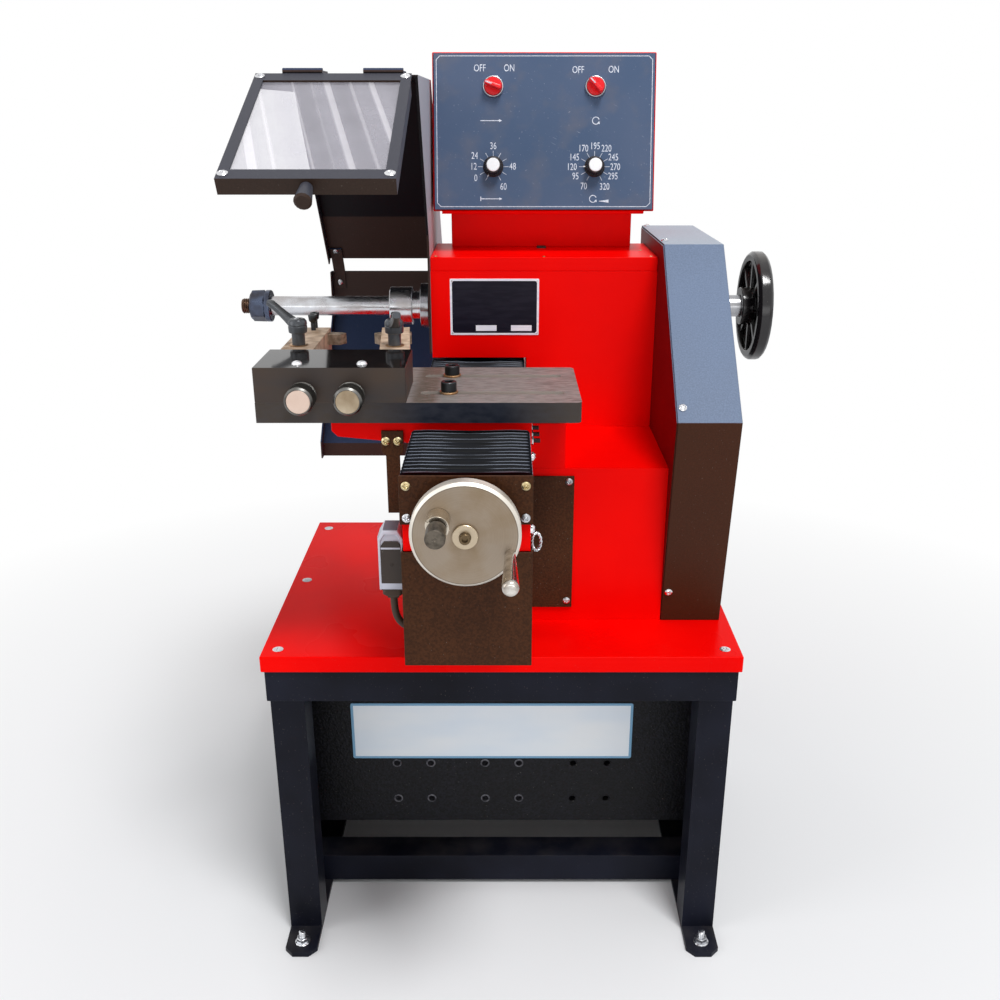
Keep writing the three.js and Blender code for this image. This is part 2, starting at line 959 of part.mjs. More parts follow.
piece(
  "feed_belt",
  belt(
    "y",
    screwAxis,
    screw.pulley,
    feedMotorAxis,
    screw.pulley,
    feedBelt.thickness,
    feedBelt.front,
    feedBelt.back,
  ),
  blackRubber,
);

// Cross-slide: straddles the ways, with a wing that carries the tool plate out to the left
const slideUnder = bed.wayTop + GAP;
const skirtBottom = bed.slabTop + GAP;
const skirtInner = bed.wayOuter + GAP;
const slideLeft = bed.centre - slide.halfWidth;
const slideRight = bed.centre + slide.halfWidth;
const slideOutline = [
  [slide.wingTip, slide.top],
  [slide.wingTip, slide.wingLow + slide.nose],
  [slide.wingTip + slide.nose, slide.wingLow],
  [slideLeft, slide.wingRoot],
  [slideLeft, skirtBottom],
  [bed.centre - skirtInner, skirtBottom],
  [bed.centre - skirtInner, slideUnder],
  [bed.centre + skirtInner, slideUnder],
  [bed.centre + skirtInner, skirtBottom],
  [slideRight, skirtBottom],
  [slideRight, slide.top],
];
const barFront = plate.slotRows[0] - clampBar.ends;
const barBack = plate.slotRows[1] + clampBar.ends;
const barPocket = slab(
  clampBar.x - clampBar.halfWidth - clampBar.pocketFit,
  clampBar.x + clampBar.halfWidth + clampBar.pocketFit,
  barFront - clampBar.pocketFit,
  barBack + clampBar.pocketFit,
  clampBar.bottom - GAP,
  slide.top + PAST,
);
const feedNut = slab(
  bed.centre - nut.halfWidth,
  bed.centre + nut.halfWidth,
  nut.front,
  nut.back,
  nut.bottom,
  slideUnder + PAST,
);
piece(
  "cross_slide",
  cut(
    join(prism("y", slideOutline, slide.front, slide.back), feedNut),
    barPocket,
    rod("y", nut.bore, slide.front - PAST, slide.back + PAST, screwAxis, SMALL_ROUND),
  ),
  redPaint,
);
piece(
  "trip_strap",
  prism(
    "y",
    [
      [strap.left, strap.high],
      [strap.left, strap.waist],
      [strap.waistLeft, strap.waist - (strap.waistLeft - strap.left)],
      [strap.waistLeft, strap.low],
      [strap.waistRight, strap.low],
      [strap.waistRight, strap.waist - (strap.right - strap.waistRight)],
      [strap.right, strap.waist],
      [strap.right, strap.high],
    ],
    slide.front - strap.thickness,
    slide.front,
  ),
  blackPaint,
);

// Limit switch on the side of the bed, its plunger and its cable
const switchRight = bedCoverLeft;
const switchLeft = switchRight - limitSwitch.width;
const switchMidX = (switchLeft + switchRight) / 2;
const switchMidY = (limitSwitch.front + limitSwitch.back) / 2;
const bootBottom = limitSwitch.low - limitSwitch.boot;
const plungerCentre = [switchPlunger.x, switchPlunger.z];
const bootSlab = slab(
  switchLeft + limitSwitch.bootInset,
  switchRight - limitSwitch.bootInset,
  limitSwitch.front + limitSwitch.bootInset,
  limitSwitch.back - limitSwitch.bootInset,
  bootBottom,
  limitSwitch.low + limitSwitch.bootInset,
);
piece(
  "limit_switch",
  cut(
    join(
      slab(switchLeft, switchRight, limitSwitch.front, limitSwitch.back, limitSwitch.low, limitSwitch.high),
      bootSlab,
    ),
    rod(
      "y",
      switchPlunger.bore,
      limitSwitch.back - switchPlunger.depth,
      limitSwitch.back + PAST,
      plungerCentre,
      SMALL_ROUND,
    ),
  ),
  greyPlastic,
);
piece(
  "limit_switch_plunger",
  rod(
    "y",
    switchPlunger.radius,
    limitSwitch.back - switchPlunger.depth / 2,
    limitSwitch.back + switchPlunger.reach,
    plungerCentre,
    SMALL_ROUND,
  ),
  darkSteel,
);
const cableDrop = (bootBottom - bedCover.bottom) / 2;
const cablePath = new THREE.CatmullRomCurve3([
  new THREE.Vector3(switchMidX, switchMidY, bootBottom - GAP),
  new THREE.Vector3(switchMidX, switchMidY, bootBottom - cableDrop / 2),
  new THREE.Vector3(switchMidX + limitSwitch.width / 6, switchMidY, bootBottom - cableDrop),
  new THREE.Vector3(switchRight - GAP, switchMidY, bootBottom - cableDrop - 3 * cable.radius / 2),
]);
const cableSection = new THREE.Shape(
  circle([0, 0], cable.radius, cable.sides).map(([u, v]) => new THREE.Vector2(u, v)),
);
const cableTube = new THREE.ExtrudeGeometry(cableSection, { steps: cable.steps, extrudePath: cablePath });
const besideSwitch = slab(
  switchRight - GAP,
  switchRight + 2 * limitSwitch.width,
  limitSwitch.front,
  limitSwitch.back,
  bedCover.bottom,
  limitSwitch.high,
);
piece("limit_switch_cable", cut(cableTube, besideSwitch), blackRubber);

// Tool plate: thick steel with two long slots, held to the slide by two socket screws in a clamp bar
const plateBottom = slide.top + GAP;
const plateOutline = [
  [plate.left, plate.front],
  ...arc([plate.right - plate.corner, plate.front + plate.corner], plate.corner, -Math.PI / 2, 0, CORNER_STEPS),
  ...arc([plate.right - plate.corner, plate.back - plate.corner], plate.corner, 0, Math.PI / 2, CORNER_STEPS),
  [plate.left, plate.back],
];
const studHoles = [leftPivot, rightPivot].map(({ x, y }) => circle([x, y], lever.bore, SMALL_ROUND));
const plateSlots = plate.slotRows.map((y) => slotOutline(plate.slotLeft, plate.slotRight, y, plate.slotHalf));
piece("tool_plate", prism("z", plateOutline, plateBottom, plate.top, [...plateSlots, ...studHoles]), wornSteel);

const washerBottom = plate.top + GAP;
const headBottom = washerBottom + capScrew.washerHeight;
const headTop = headBottom + capScrew.headHeight;
const capScrews = plate.slotRows.map((y) =>
  cut(
    join(
      rod(
        "z",
        capScrew.shank,
        clampBar.bottom + clampBar.height / 2,
        headBottom + PAST,
        [clampBar.x, y],
        SMALL_ROUND,
      ),
      rod("z", capScrew.washer, washerBottom, headBottom, [clampBar.x, y], SMALL_ROUND),
      rod("z", capScrew.head, headBottom - capScrew.washerHeight / 2, headTop, [clampBar.x, y], SMALL_ROUND),
    ),
    rod("z", capScrew.socket, headTop - capScrew.socketDepth, headTop + PAST, [clampBar.x, y], 6),
  ),
);
piece(
  "plate_clamp_screws",
  join(
    slab(
      clampBar.x - clampBar.halfWidth,
      clampBar.x + clampBar.halfWidth,
      barFront,
      barBack,
      clampBar.bottom,
      clampBar.bottom + clampBar.height,
    ),
    ...capScrews,
  ),
  darkSteel,
);

// Tool block: black, bored for the two depth knobs and hollowed behind for the tails of the arms
const tailMiddle = (pivot) => {
  const middle = (pivot.tailEnd + arm.shoulder) / 2;
  return pivot.x + pivot.offset + middle * Math.sin(pivot.angle * degrees);
};
function armPocket(pivot, half) {
  const middle = tailMiddle(pivot);
  return slab(
    middle - half,
    middle + half,
    block.pocketFront,
    block.back + PAST,
    plate.top - PAST,
    block.top - block.roof,
  );
}
const knobBores = [knobs.left, knobs.right].map((x) =>
  rod("y", depthKnob.bore, plate.front - PAST, depthKnob.inner + GAP, [x, depthKnob.height], SMALL_ROUND),
);
piece(
  "tool_block",
  cut(
    slab(plate.left, block.right, plate.front, block.back, plate.top, block.top),
    armPocket(leftPivot, pocketHalf.left),
    armPocket(rightPivot, pocketHalf.right),
    ...knobBores,
  ),
  blackPaint,
);

const knobRoot = plate.front - GAP;
const knobFace = knobRoot - depthKnob.length;
for (const side of ["left", "right"]) {
  piece(
    "depth_knob_" + side,
    turned(
      "y",
      [
        [depthKnob.inner, 0],
        [depthKnob.inner, depthKnob.shaft],
        [knobRoot, depthKnob.shaft],
        [knobRoot, depthKnob.neck],
        [knobRoot - 2 * depthKnob.bevel, depthKnob.neck],
        [knobRoot - 3 * depthKnob.bevel, depthKnob.radius],
        [knobFace + depthKnob.bevel, depthKnob.radius],
        [knobFace, depthKnob.radius - depthKnob.bevel],
        [knobFace, 0],
      ],
      [knobs[side], depthKnob.height],
    ),
    darkSteel,
  );
}

// Tool arms: each swivels about its clamp stud, with its tail in the block and a cutter bit across its far end
function toolArm(pivot) {
  const tailLeft = pivot.offset - pivot.tailHalf;
  const tailRight = pivot.offset + pivot.tailHalf;
  const left = pivot.offset - pivot.halfWidth;
  const right = pivot.offset + pivot.halfWidth;
  return cut(
    join(
      slab(left, right, -arm.shoulder, pivot.farEnd, arm.bottom, arm.top),
      slab(tailLeft, tailRight, -pivot.tailEnd, -arm.shoulder + PAST, arm.bottom, arm.tailTop),
    ),
    rod("z", lever.bore, arm.bottom - PAST, arm.top + PAST, [0, 0], SMALL_ROUND),
    slab(
      left - PAST,
      right + PAST,
      arm.slotNear + pivot.slotShift,
      arm.slotFar + pivot.slotShift,
      arm.slotLow,
      arm.slotHigh,
    ),
  );
}

// A square cutter bit that lies in the cross slot and ends in a point.
function toolBit(pivot) {
  const near = arm.slotNear + pivot.slotShift + GAP;
  const far = arm.slotFar + pivot.slotShift - GAP;
  const inward = Math.sign(pivot.bitTip);
  const tail = pivot.offset - inward * (pivot.halfWidth + pivot.bitTail);
  const neck = pivot.bitTip - inward * (far - near) / 2;
  const outline = [[tail, near], [neck, near], [pivot.bitTip, (near + 2 * far) / 3], [neck, far], [tail, far]];
  return prism("z", outline, arm.slotLow + GAP, arm.slotHigh - GAP);
}
for (const [side, pivot] of [["left", leftPivot], ["right", rightPivot]]) {
  const carrier = turnedGroup(pivot.x, pivot.y, 0, 0, pivot.angle * degrees);
  piece("tool_arm_" + side, toolArm(pivot), wornSteel, carrier);
  piece("tool_bit_" + side, toolBit(pivot), darkSteel, carrier);
}

// Clamp levers: a stud through the arm into the plate, a hub and a rising handle
function clampLever() {
  const hubBevel = lever.hub / 5;
  const stem = turned(
    "z",
    [
      [plateBottom + PAST, 0],
      [plateBottom + PAST, lever.stud],
      [arm.top + GAP, lever.stud],
      [arm.top + GAP, lever.stem],
      [lever.stemTop, lever.stem],
      [lever.stemTop, lever.hub],
      [lever.hubTop - hubBevel, lever.hub],
      [lever.hubTop, lever.hub - hubBevel],
      [lever.hubTop, 0],
    ],
    [0, 0],
    SMALL_ROUND,
  );
  const handle = prism(
    "y",
    [
      [0, lever.stemTop + hubBevel],
      [lever.hub, lever.stemTop + hubBevel],
      [lever.reach, lever.tipLow],
      [lever.reach, lever.tipHigh],
      [lever.reach - lever.width, lever.tipHigh],
      [0, lever.hubTop - hubBevel],
    ],
    -lever.width / 2,
    lever.width / 2,
  );
  return join(stem, handle);
}
for (const [side, pivot] of [["left", leftPivot], ["right", rightPivot]]) {
  const carrier = turnedGroup(pivot.x, pivot.y, 0, 0, leverHeadings[side] * degrees);
  piece("clamp_lever_" + side, clampLever(), darkSteel, carrier);
}

// Headstock: a red casting with a spindle chamber, a hollow right leg and a cut-out over the rear bellows
const spindleAxis = [axis.y, axis.z];
const leftHousing = base.left + bearing.inset;
const rightHousing = base.right - bearing.inset;
const headInnerLeft = base.left + head.wall;
const headInnerRight = base.right - head.wall;
const headInnerFront = head.front + head.wall;
const headInnerBack = head.back - head.wall;
const headShell = cut(
  slab(base.left, base.right, head.front, head.back, base.top, head.top),
  slab(headInnerLeft, headInnerRight, headInnerFront, headInnerBack, head.floor, head.top + PAST),
  slab(
    head.cutoutRight + head.legWall,
    headInnerRight,
    headInnerFront,
    headInnerBack,
    base.top - PAST,
    head.floor - head.wall,
  ),
  slab(
    base.left - PAST,
    head.cutoutRight,
    head.front - PAST,
    head.back + PAST,
    base.top - PAST,
    head.cutoutTop,
  ),
);
piece(
  "headstock",
  cut(
    join(
      headShell,
      rod("x", bearing.boss, base.left + head.wall / 2, leftHousing + bearing.width, spindleAxis),
      rod("x", bearing.boss, rightHousing - bearing.width, base.right - head.wall / 2, spindleAxis),
    ),
    rod("x", bearing.housing, leftHousing, leftHousing + bearing.width + PAST, spindleAxis),
    rod("x", bearing.housing, rightHousing - bearing.width - PAST, rightHousing, spindleAxis),
    rod("x", spindle.hole, base.left - PAST, leftHousing + PAST, spindleAxis),
    rod("x", spindle.hole, rightHousing - PAST, base.right + PAST, spindleAxis),
  ),
  redPaint,
);
piece(
  "headstock_lid",
  cut(
    slab(base.left, base.right, head.front, head.back, head.top, head.top + lid.height),
    slab(
      base.left + lid.sheet,
      base.right - lid.sheet,
      head.front + lid.sheet,
      head.back - lid.sheet,
      head.top - PAST,
      head.top + lid.height - lid.sheet,
    ),
  ),
  redPaint,
);

// Spindle and the pieces that turn with it
piece(
  "spindle_bearing_sleeve",
  ring("x", bearing.inner, bearing.outer, leftHousing + GAP, rightHousing - GAP, spindleAxis),
  brightSteel,
);
piece(
  "spindle",
  turned(
    "x",
    [
      [spindle.flangeLeft, 0],
      [spindle.flangeLeft, spindle.flange],
      [spindle.flangeRight, spindle.flange],
      [spindle.flangeRight, spindle.radius],
      [rightHousing, spindle.radius],
      [rightHousing, spindle.shaft],
      [spindle.shaftEnd, spindle.shaft],
      [spindle.shaftEnd, 0],
    ],
    spindleAxis,
  ),
  brightSteel,
);
const threadRun = arbor.threadRadius / 5;
piece(
  "arbor",
  turned(
    "x",
    [
      [arbor.tip, 0],
      [arbor.tip, arbor.threadRadius - threadRun],
      [arbor.tip + threadRun, arbor.threadRadius],
      [arbor.shoulder, arbor.threadRadius],
      [arbor.shoulder, arbor.radius],
      [arbor.collar, arbor.radius],
      [arbor.collar, arbor.collarRadius],
      [arbor.neck, arbor.collarRadius],
      [arbor.neck, arbor.neckRadius],
      [spindle.flangeLeft, arbor.neckRadius],
      [spindle.flangeLeft, 0],
    ],
    spindleAxis,
  ),
  brightSteel,
);
const nutCorner = arborNut.acrossFlats / Math.sqrt(3);
const nutTurn = Math.PI / 6;
const nutHex = arc(spindleAxis, nutCorner, nutTurn, nutTurn + 2 * Math.PI, 6).slice(1);
piece(
  "arbor_nut",
  cut(
    join(
      prism("x", nutHex, arborNut.left, arborNut.flangeLeft + PAST),
      rod("x", arborNut.flange, arborNut.flangeLeft, arbor.shoulder - GAP, spindleAxis),
    ),
    rod("x", arborNut.bore, arborNut.left - PAST, arbor.shoulder + PAST, spindleAxis),
  ),
  darkSteel,
);
const rimInner = handwheel.radius - handwheel.rim;
const rimBevel = handwheel.rim / 3;
const wheelBody = turned(
  "x",
  [
    [handwheel.left, handwheel.bore],
    [handwheel.left, handwheel.hub],
    [handwheel.webLeft, handwheel.hub],
    [handwheel.webLeft, rimInner],
    [handwheel.rimLeft, rimInner],
    [handwheel.rimLeft, handwheel.radius - rimBevel],
    [handwheel.rimLeft + rimBevel, handwheel.radius],
    [handwheel.right - rimBevel, handwheel.radius],
    [handwheel.right, handwheel.radius - rimBevel],
    [handwheel.right, rimInner],
    [handwheel.webRight, rimInner],
    [handwheel.webRight, handwheel.hub],
    [handwheel.right, handwheel.hub],
    [handwheel.right, handwheel.bore],
  ],
  spindleAxis,
);
const ribs = Array.from({ length: wheelRibs.count }, (_, i) => {
  const half = wheelRibs.width / 2;
  const left = handwheel.webLeft - wheelRibs.depth;
  const right = handwheel.webRight - wheelRibs.depth / 2;
  const rib = slab(left, right, handwheel.hub - half, rimInner + half, -half, half);
  return rib.rotateX((i * 2 * Math.PI) / wheelRibs.count).translate(0, axis.y, axis.z);
});
piece("handwheel", join(wheelBody, ...ribs), blackPlastic);

// Belt drive: a pulley on the spindle, one on the motor shaft and the belt between them
const pulleyLeft = beltPlane.left - GAP - beltPlane.flange;
const pulleyRight = beltPlane.right + GAP + beltPlane.flange;
function pulleyProfile(core, bore) {
  return [
    [pulleyLeft, bore],
    [pulleyLeft, core + beltPlane.lip],
    [beltPlane.left - GAP, core + beltPlane.lip],
    [beltPlane.left - GAP, core],
    [beltPlane.right + GAP, core],
    [beltPlane.right + GAP, core + beltPlane.lip],
    [pulleyRight, core + beltPlane.lip],
    [pulleyRight, bore],
  ];
}
piece(
  "spindle_pulley",
  turned("x", pulleyProfile(spindlePulley.radius, spindlePulley.bore), spindleAxis),
  bareSteel,
);
piece(
  "motor_pulley",
  join(
    turned("x", pulleyProfile(motorShaft.pulley, 0), motorAxis),
    rod("x", motorShaft.radius, motorShaft.inner, pulleyLeft + PAST, motorAxis, SMALL_ROUND),
  ),
  bareSteel,
);
piece(
  "drive_belt",
  belt(
    "x",
    spindleAxis,
    spindlePulley.radius,
    motorAxis,
    motorShaft.pulley,
    beltPlane.thickness,
    beltPlane.left,
    beltPlane.right,
  ),
  blackRubber,
);
piece(
  "drive_motor",
  cut(
    join(
      rod("x", motor.radius, motor.left, motor.right, motorAxis),
      slab(
        motor.footLeft,
        motor.footRight,
        motor.y - motor.footWidth / 2,
        motor.y + motor.footWidth / 2,
        table.top,
        table.top + motor.footHeight,
      ),
    ),
    rod("x", motorShaft.bore, motorShaft.inner - GAP, motor.right + PAST, motorAxis, SMALL_ROUND),
  ),
  motorPaint,
);

// Belt cover: a side plate and a black folded cover that is pushed over the plate's edge
const beltOutline = [
  [beltCover.bottomFront, table.top],
  [beltCover.bottomBack, table.top],
  [beltCover.topBack, beltCover.top],
  [beltCover.topFront, beltCover.top],
  [beltCover.bendFront, beltCover.bendHeight],
];
// The outline moved inwards by the sheet's thickness, side by side.
function inset(outline, distance) {
  const edges = outline.map(([u, v], i) => {
    const [nextU, nextV] = outline[(i + 1) % outline.length];
    const length = Math.hypot(nextU - u, nextV - v);
    const normal = [-(nextV - v) / length, (nextU - u) / length];
    return { point: [u + normal[0] * distance, v + normal[1] * distance], run: [nextU - u, nextV - v] };
  });
  return edges.map((edge, i) => {
    const before = edges[(i + edges.length - 1) % edges.length];
    const cross = before.run[0] * edge.run[1] - before.run[1] * edge.run[0];
    const offset = [edge.point[0] - before.point[0], edge.point[1] - before.point[1]];
    const along = (offset[0] * edge.run[1] - offset[1] * edge.run[0]) / cross;
    return [before.point[0] + before.run[0] * along, before.point[1] + before.run[1] * along];
  });
}
const plateOutside = inset(beltOutline, beltCover.sheet + GAP);
const plateHoles = [circle(spindleAxis, spindle.hole, ROUND), circle(motorAxis, motorShaft.hole, SMALL_ROUND)];
const plateRight = base.right + backPlate.thickness;
piece("belt_back_plate", prism("x", plateOutside, base.right, plateRight, plateHoles), redPaint);
piece(
  "belt_cover",
  cut(
    prism("x", beltOutline, base.right + beltCover.reveal, beltCover.right),
    prism("x", inset(beltOutline, beltCover.sheet), base.right - PAST, beltCover.right - beltCover.sheet),
    rod("x", beltCover.shaftHole, beltCover.right - PAST, beltCover.right + PAST, spindleAxis),
  ),
  blackPaint,
);

// Control box: a red sheet box on a neck over the headstock, its open front leaning back
const lean = controlBox.lean * degrees;
const lidTop = head.top + lid.height;
const boxHeight = controlBox.top - neck.top;
const frontTop = controlBox.front + boxHeight * Math.tan(lean);
const boxOutline = [
  [controlBox.front, neck.top],
  [controlBox.back, neck.top],
  [controlBox.back, controlBox.top],
  [frontTop, controlBox.top],
];
const mouth = controlBox.front - PAST;
const innerFrontTop = frontTop - controlBox.sheet * Math.tan(lean) - PAST;
const boxInside = [
  [mouth, neck.top + controlBox.sheet],
  [controlBox.back - controlBox.sheet, neck.top + controlBox.sheet],
  [controlBox.back - controlBox.sheet, controlBox.top - controlBox.sheet],
  [innerFrontTop, controlBox.top - controlBox.sheet],
];
piece(
  "control_box",
  cut(
    join(
      prism("x", boxOutline, controlBox.left, controlBox.right),
      slab(neck.left, neck.right, neck.front, neck.back, lidTop, neck.top + controlBox.sheet),
      slab(
        neck.left - controlBox.lip,
        neck.right + controlBox.lip,
        neck.flangeFront,
        neck.back + controlBox.lip,
        neck.top - neck.flange,
        neck.top + controlBox.sheet,
      ),
    ),
    prism("x", boxInside, controlBox.left + controlBox.sheet, controlBox.right - controlBox.sheet),
    slab(
      neck.left + neck.sheet,
      neck.right - neck.sheet,
      neck.front + neck.sheet,
      neck.back - neck.sheet,
      lidTop - PAST,
      neck.top + PAST,
    ),
  ),
  redPaint,
);

// Control panel with its two selector switches and two speed knobs, in the leaning frame of the box's front
const panelMiddle = (controlBox.left + controlBox.right) / 2;
const panelHalf = (controlBox.right - controlBox.left) / 2 - panel.margin;
const panelLength = boxHeight / Math.cos(lean);
const panelGroup = turnedGroup(panelMiddle, controlBox.front, neck.top, -lean, 0);
const panelBack = -GAP;
const panelFace = panelBack - panel.thickness;
const panelRim = [
  [-panelHalf, panel.margin],
  [panelHalf, panel.margin],
  [panelHalf, panelLength - panel.margin],
  [-panelHalf, panelLength - panel.margin],
];
const panelBores = [controls.left, controls.right].flatMap((x) => [
  circle([x, controls.selectorUp], selector.bore, SMALL_ROUND),
  circle([x, controls.potUp], pot.bore, SMALL_ROUND),
]);
piece("control_panel", prism("y", panelRim, panelFace, panelBack, panelBores), panelSlate, panelGroup);

// A round base with a raised bar across it, on a stem through the panel.
function selectorSwitch(x, offAngle) {
  const centre = [x, controls.selectorUp];
  const baseBack = panelFace - GAP;
  const baseFace = baseBack - selector.baseHeight;
  const half = selector.ridgeWidth / 2;
  const ridge = slab(
    -half,
    half,
    baseBack - selector.ridgeHeight,
    baseFace + half,
    half - selector.base,
    selector.base - half,
  );
  return join(
    rod("y", selector.base, baseFace, baseBack, centre),
    rod(
      "y",
      selector.stem,
      baseBack - selector.baseHeight / 2,
      panelBack + selector.stemDepth,
      centre,
      SMALL_ROUND,
    ),
    ridge.rotateY(-offAngle * degrees).translate(x, 0, controls.selectorUp),
  );
}

// A skirted knob on a thin stem through the panel.
function speedKnob(x) {
  const skirtBack = panelFace - GAP;
  return turned(
    "y",
    [
      [panelBack + pot.stemDepth, 0],
      [panelBack + pot.stemDepth, pot.stem],
      [skirtBack, pot.stem],
      [skirtBack, pot.skirt],
      [skirtBack - pot.skirtHeight, pot.skirt - pot.bevel],
      [skirtBack - pot.skirtHeight, pot.cap],
      [skirtBack - pot.capHeight + pot.bevel, pot.cap - pot.bevel],
      [skirtBack - pot.capHeight, pot.cap - 2 * pot.bevel],
      [skirtBack - pot.capHeight, 0],
    ],
    [x, controls.potUp],
    KNOB_ROUND,
  );
}
piece("feed_switch", selectorSwitch(controls.left, selector.feedOff), redPlastic, panelGroup);
piece("spindle_switch", selectorSwitch(controls.right, selector.spindleOff), redPlastic, panelGroup);
piece("feed_rate_knob", speedKnob(controls.left), blackPlastic, panelGroup);
piece("spindle_speed_knob", speedKnob(controls.right), blackPlastic, panelGroup);

// Chip guard: a bent hood with its cheek plate against the headstock, and a lower guard behind the arbor
const hoodLine = [
  [hood.lowY, hood.lowZ],
  [hood.backY, hood.backZ - guard.sheet],
  [hood.frontY, hood.frontZ],
];
const cheekOutline = [
  [hood.frontY, hood.frontZ],
  [guard.cheekFront, guard.cheekKnee],
  [guard.cheekFront, guard.cheekBottom],
  [lowerGuard.topY, guard.cheekBottom],
  [lowerGuard.topY, lowerGuard.topZ],
  [hood.lowY, hood.lowZ],
  [hood.backY, hood.backZ - guard.sheet],
];
const hingeBarrels = hinge.spans.flatMap(([from, to]) => [
  rod("x", hinge.radius, from, to, [hinge.y, hinge.z], SMALL_ROUND),
  slab(
    from,
    to,
    hinge.y,
    hinge.y + hinge.leaf,
    hood.frontZ + guard.sheet / 2,
    hinge.z + hinge.leafThickness / 2,
  ),
]);
piece(
  "guard_hood",
  join(
    prism("x", bentSheet(hoodLine, -guard.sheet), guard.left, guard.cheekRight),
    prism("x", bentSheet(hoodLine, guard.flange), guard.left, guard.left + guard.sheet),
    cut(
      prism("x", cheekOutline, guard.right, guard.cheekRight),
      rod("x", spindle.flange, guard.right - PAST, guard.cheekRight + PAST, spindleAxis),
    ),
    ...hingeBarrels,
  ),
  blackPaint,
);
const lowerLine = [
  [lowerGuard.lowY, lowerGuard.lipZ],
  [lowerGuard.lowY, lowerGuard.lowZ],
  [lowerGuard.bendY, lowerGuard.bendZ],
  [lowerGuard.topY, lowerGuard.topZ],
];
const hoodSlope = (hood.lowY - hood.backY) / (hood.backZ - guard.sheet - hood.lowZ);
const strapKnee = [hood.lowY - GAP, hood.lowZ];
const strapTop = [strapKnee[0] - (guardStrap.high - hood.lowZ) * hoodSlope, guardStrap.high];
const strapLine = [
  [lowerGuard.topY + guard.sheet / 2, guardStrap.low],
  [lowerGuard.topY + guard.sheet / 2, lowerGuard.topZ],
  strapKnee,
  strapTop,
];
piece(
  "guard_lower",
  join(
    prism("x", bentSheet(lowerLine, -guard.sheet), guard.left, guard.right - GAP),
    prism("x", bentSheet(lowerLine, guard.flange), guard.left, guard.left + guard.sheet),
    prism("x", bentSheet(strapLine, guardStrap.thickness), guardStrap.left, guardStrap.right),
    slab(
      guard.right - PAST,
      base.left,
      lowerGuard.lowY,
      lowerGuard.lowY + guard.sheet,
      lowerGuard.lipZ,
      lowerGuard.lowZ,
    ),
  ),
  blackPaint,
);

// Visor: a bordered sheet on the hood's front edge, with a clear pane screwed under it and a knob to lift it
const visorGroup = turnedGroup(0, hinge.y, hinge.z, visor.droop * degrees, 0);
const visorEnd = -visor.edge - visor.length;
const visorSheet = slab(visor.left, visor.right, visorEnd, -visor.edge, -visor.sheet, 0);
const window = slab(
  visor.left + visor.side,
  visor.right - visor.side,
  visorEnd + visor.border,
  -visor.edge - visor.border,
  -visor.sheet - PAST,
  PAST,
);
const lipStart = -visor.edge - visor.border;
const visorLips = [
  slab(visor.left, visor.right, visorEnd, visorEnd + visor.sheet, -visor.lip, 0),
  slab(visor.left, visor.left + visor.sheet, visorEnd, lipStart, -visor.lip, 0),
  slab(visor.right - visor.sheet, visor.right, visorEnd, lipStart, -visor.lip, 0),
];
const knobProfile = [
  [visorEnd + visor.sheet / 2, 0],
  [visorEnd + visor.sheet / 2, visorKnob.rootRadius],
  [visorEnd - visorKnob.length + visorKnob.bevel, visorKnob.endRadius],
  [visorEnd - visorKnob.length, visorKnob.endRadius - visorKnob.bevel],
  [visorEnd - visorKnob.length, 0],
];
piece(
  "visor_frame",
  join(
    cut(visorSheet, window),
    ...visorLips,
    turned("y", knobProfile, [visorKnob.x, -visorKnob.drop], SMALL_ROUND),
  ),
  blackPaint,
  visorGroup,
);
piece(
  "visor_pane",
  slab(
    visor.left + visor.side - pane.lap,
    visor.right - visor.side + pane.lap,
    visorEnd + visor.border - pane.lap,
    -visor.edge - visor.border + pane.lap,
    -visor.sheet - GAP - pane.thickness,
    -visor.sheet - GAP,
  ),
  clearPlastic,
  visorGroup,
);

// The origin is the middle of the footprint, on the floor
const bounds = new THREE.Box3().setFromObject(machine, true);
const middle = bounds.getCenter(new THREE.Vector3());
machine.position.set(-middle.x, -middle.y, 0);
machine.updateMatrixWorld(true);

const lathe = new THREE.Group();
lathe.add(machine);
export default lathe;
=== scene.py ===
import math

import bmesh
import bpy
import numpy as np
from mathutils import Matrix, Vector


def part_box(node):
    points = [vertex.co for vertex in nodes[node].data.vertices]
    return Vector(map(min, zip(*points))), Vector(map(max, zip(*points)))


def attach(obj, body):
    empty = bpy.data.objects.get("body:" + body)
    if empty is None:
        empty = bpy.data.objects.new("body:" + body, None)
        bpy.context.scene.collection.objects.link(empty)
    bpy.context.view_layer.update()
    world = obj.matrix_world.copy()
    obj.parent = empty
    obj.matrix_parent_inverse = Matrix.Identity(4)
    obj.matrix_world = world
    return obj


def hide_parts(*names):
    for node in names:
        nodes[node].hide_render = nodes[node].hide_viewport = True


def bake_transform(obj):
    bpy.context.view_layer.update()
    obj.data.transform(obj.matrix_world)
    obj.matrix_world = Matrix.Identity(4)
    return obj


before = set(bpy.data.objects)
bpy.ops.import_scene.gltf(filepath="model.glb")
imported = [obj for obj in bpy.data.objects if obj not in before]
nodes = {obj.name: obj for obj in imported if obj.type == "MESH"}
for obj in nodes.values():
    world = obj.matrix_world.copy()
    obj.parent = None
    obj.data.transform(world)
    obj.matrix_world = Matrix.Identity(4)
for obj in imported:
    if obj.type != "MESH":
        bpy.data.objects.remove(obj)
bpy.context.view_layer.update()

# Camera: in front of the machine at chest height, looking down on the table.
# The picture is square, and its small sideways shift is the photograph's own framing.
eye_place = (0.004, -1.1665, 0.990)
eye_pitch = math.radians(69.3)
lens_length = 37.15
frame_shift = -0.005
camera = bpy.data.objects.new("camera", bpy.data.cameras.new("camera"))
camera.location = eye_place
camera.rotation_euler = (eye_pitch, 0, 0)
camera.data.lens = lens_length
camera.data.shift_x = frame_shift
bpy.context.scene.collection.objects.link(camera)
bpy.context.scene.camera = camera
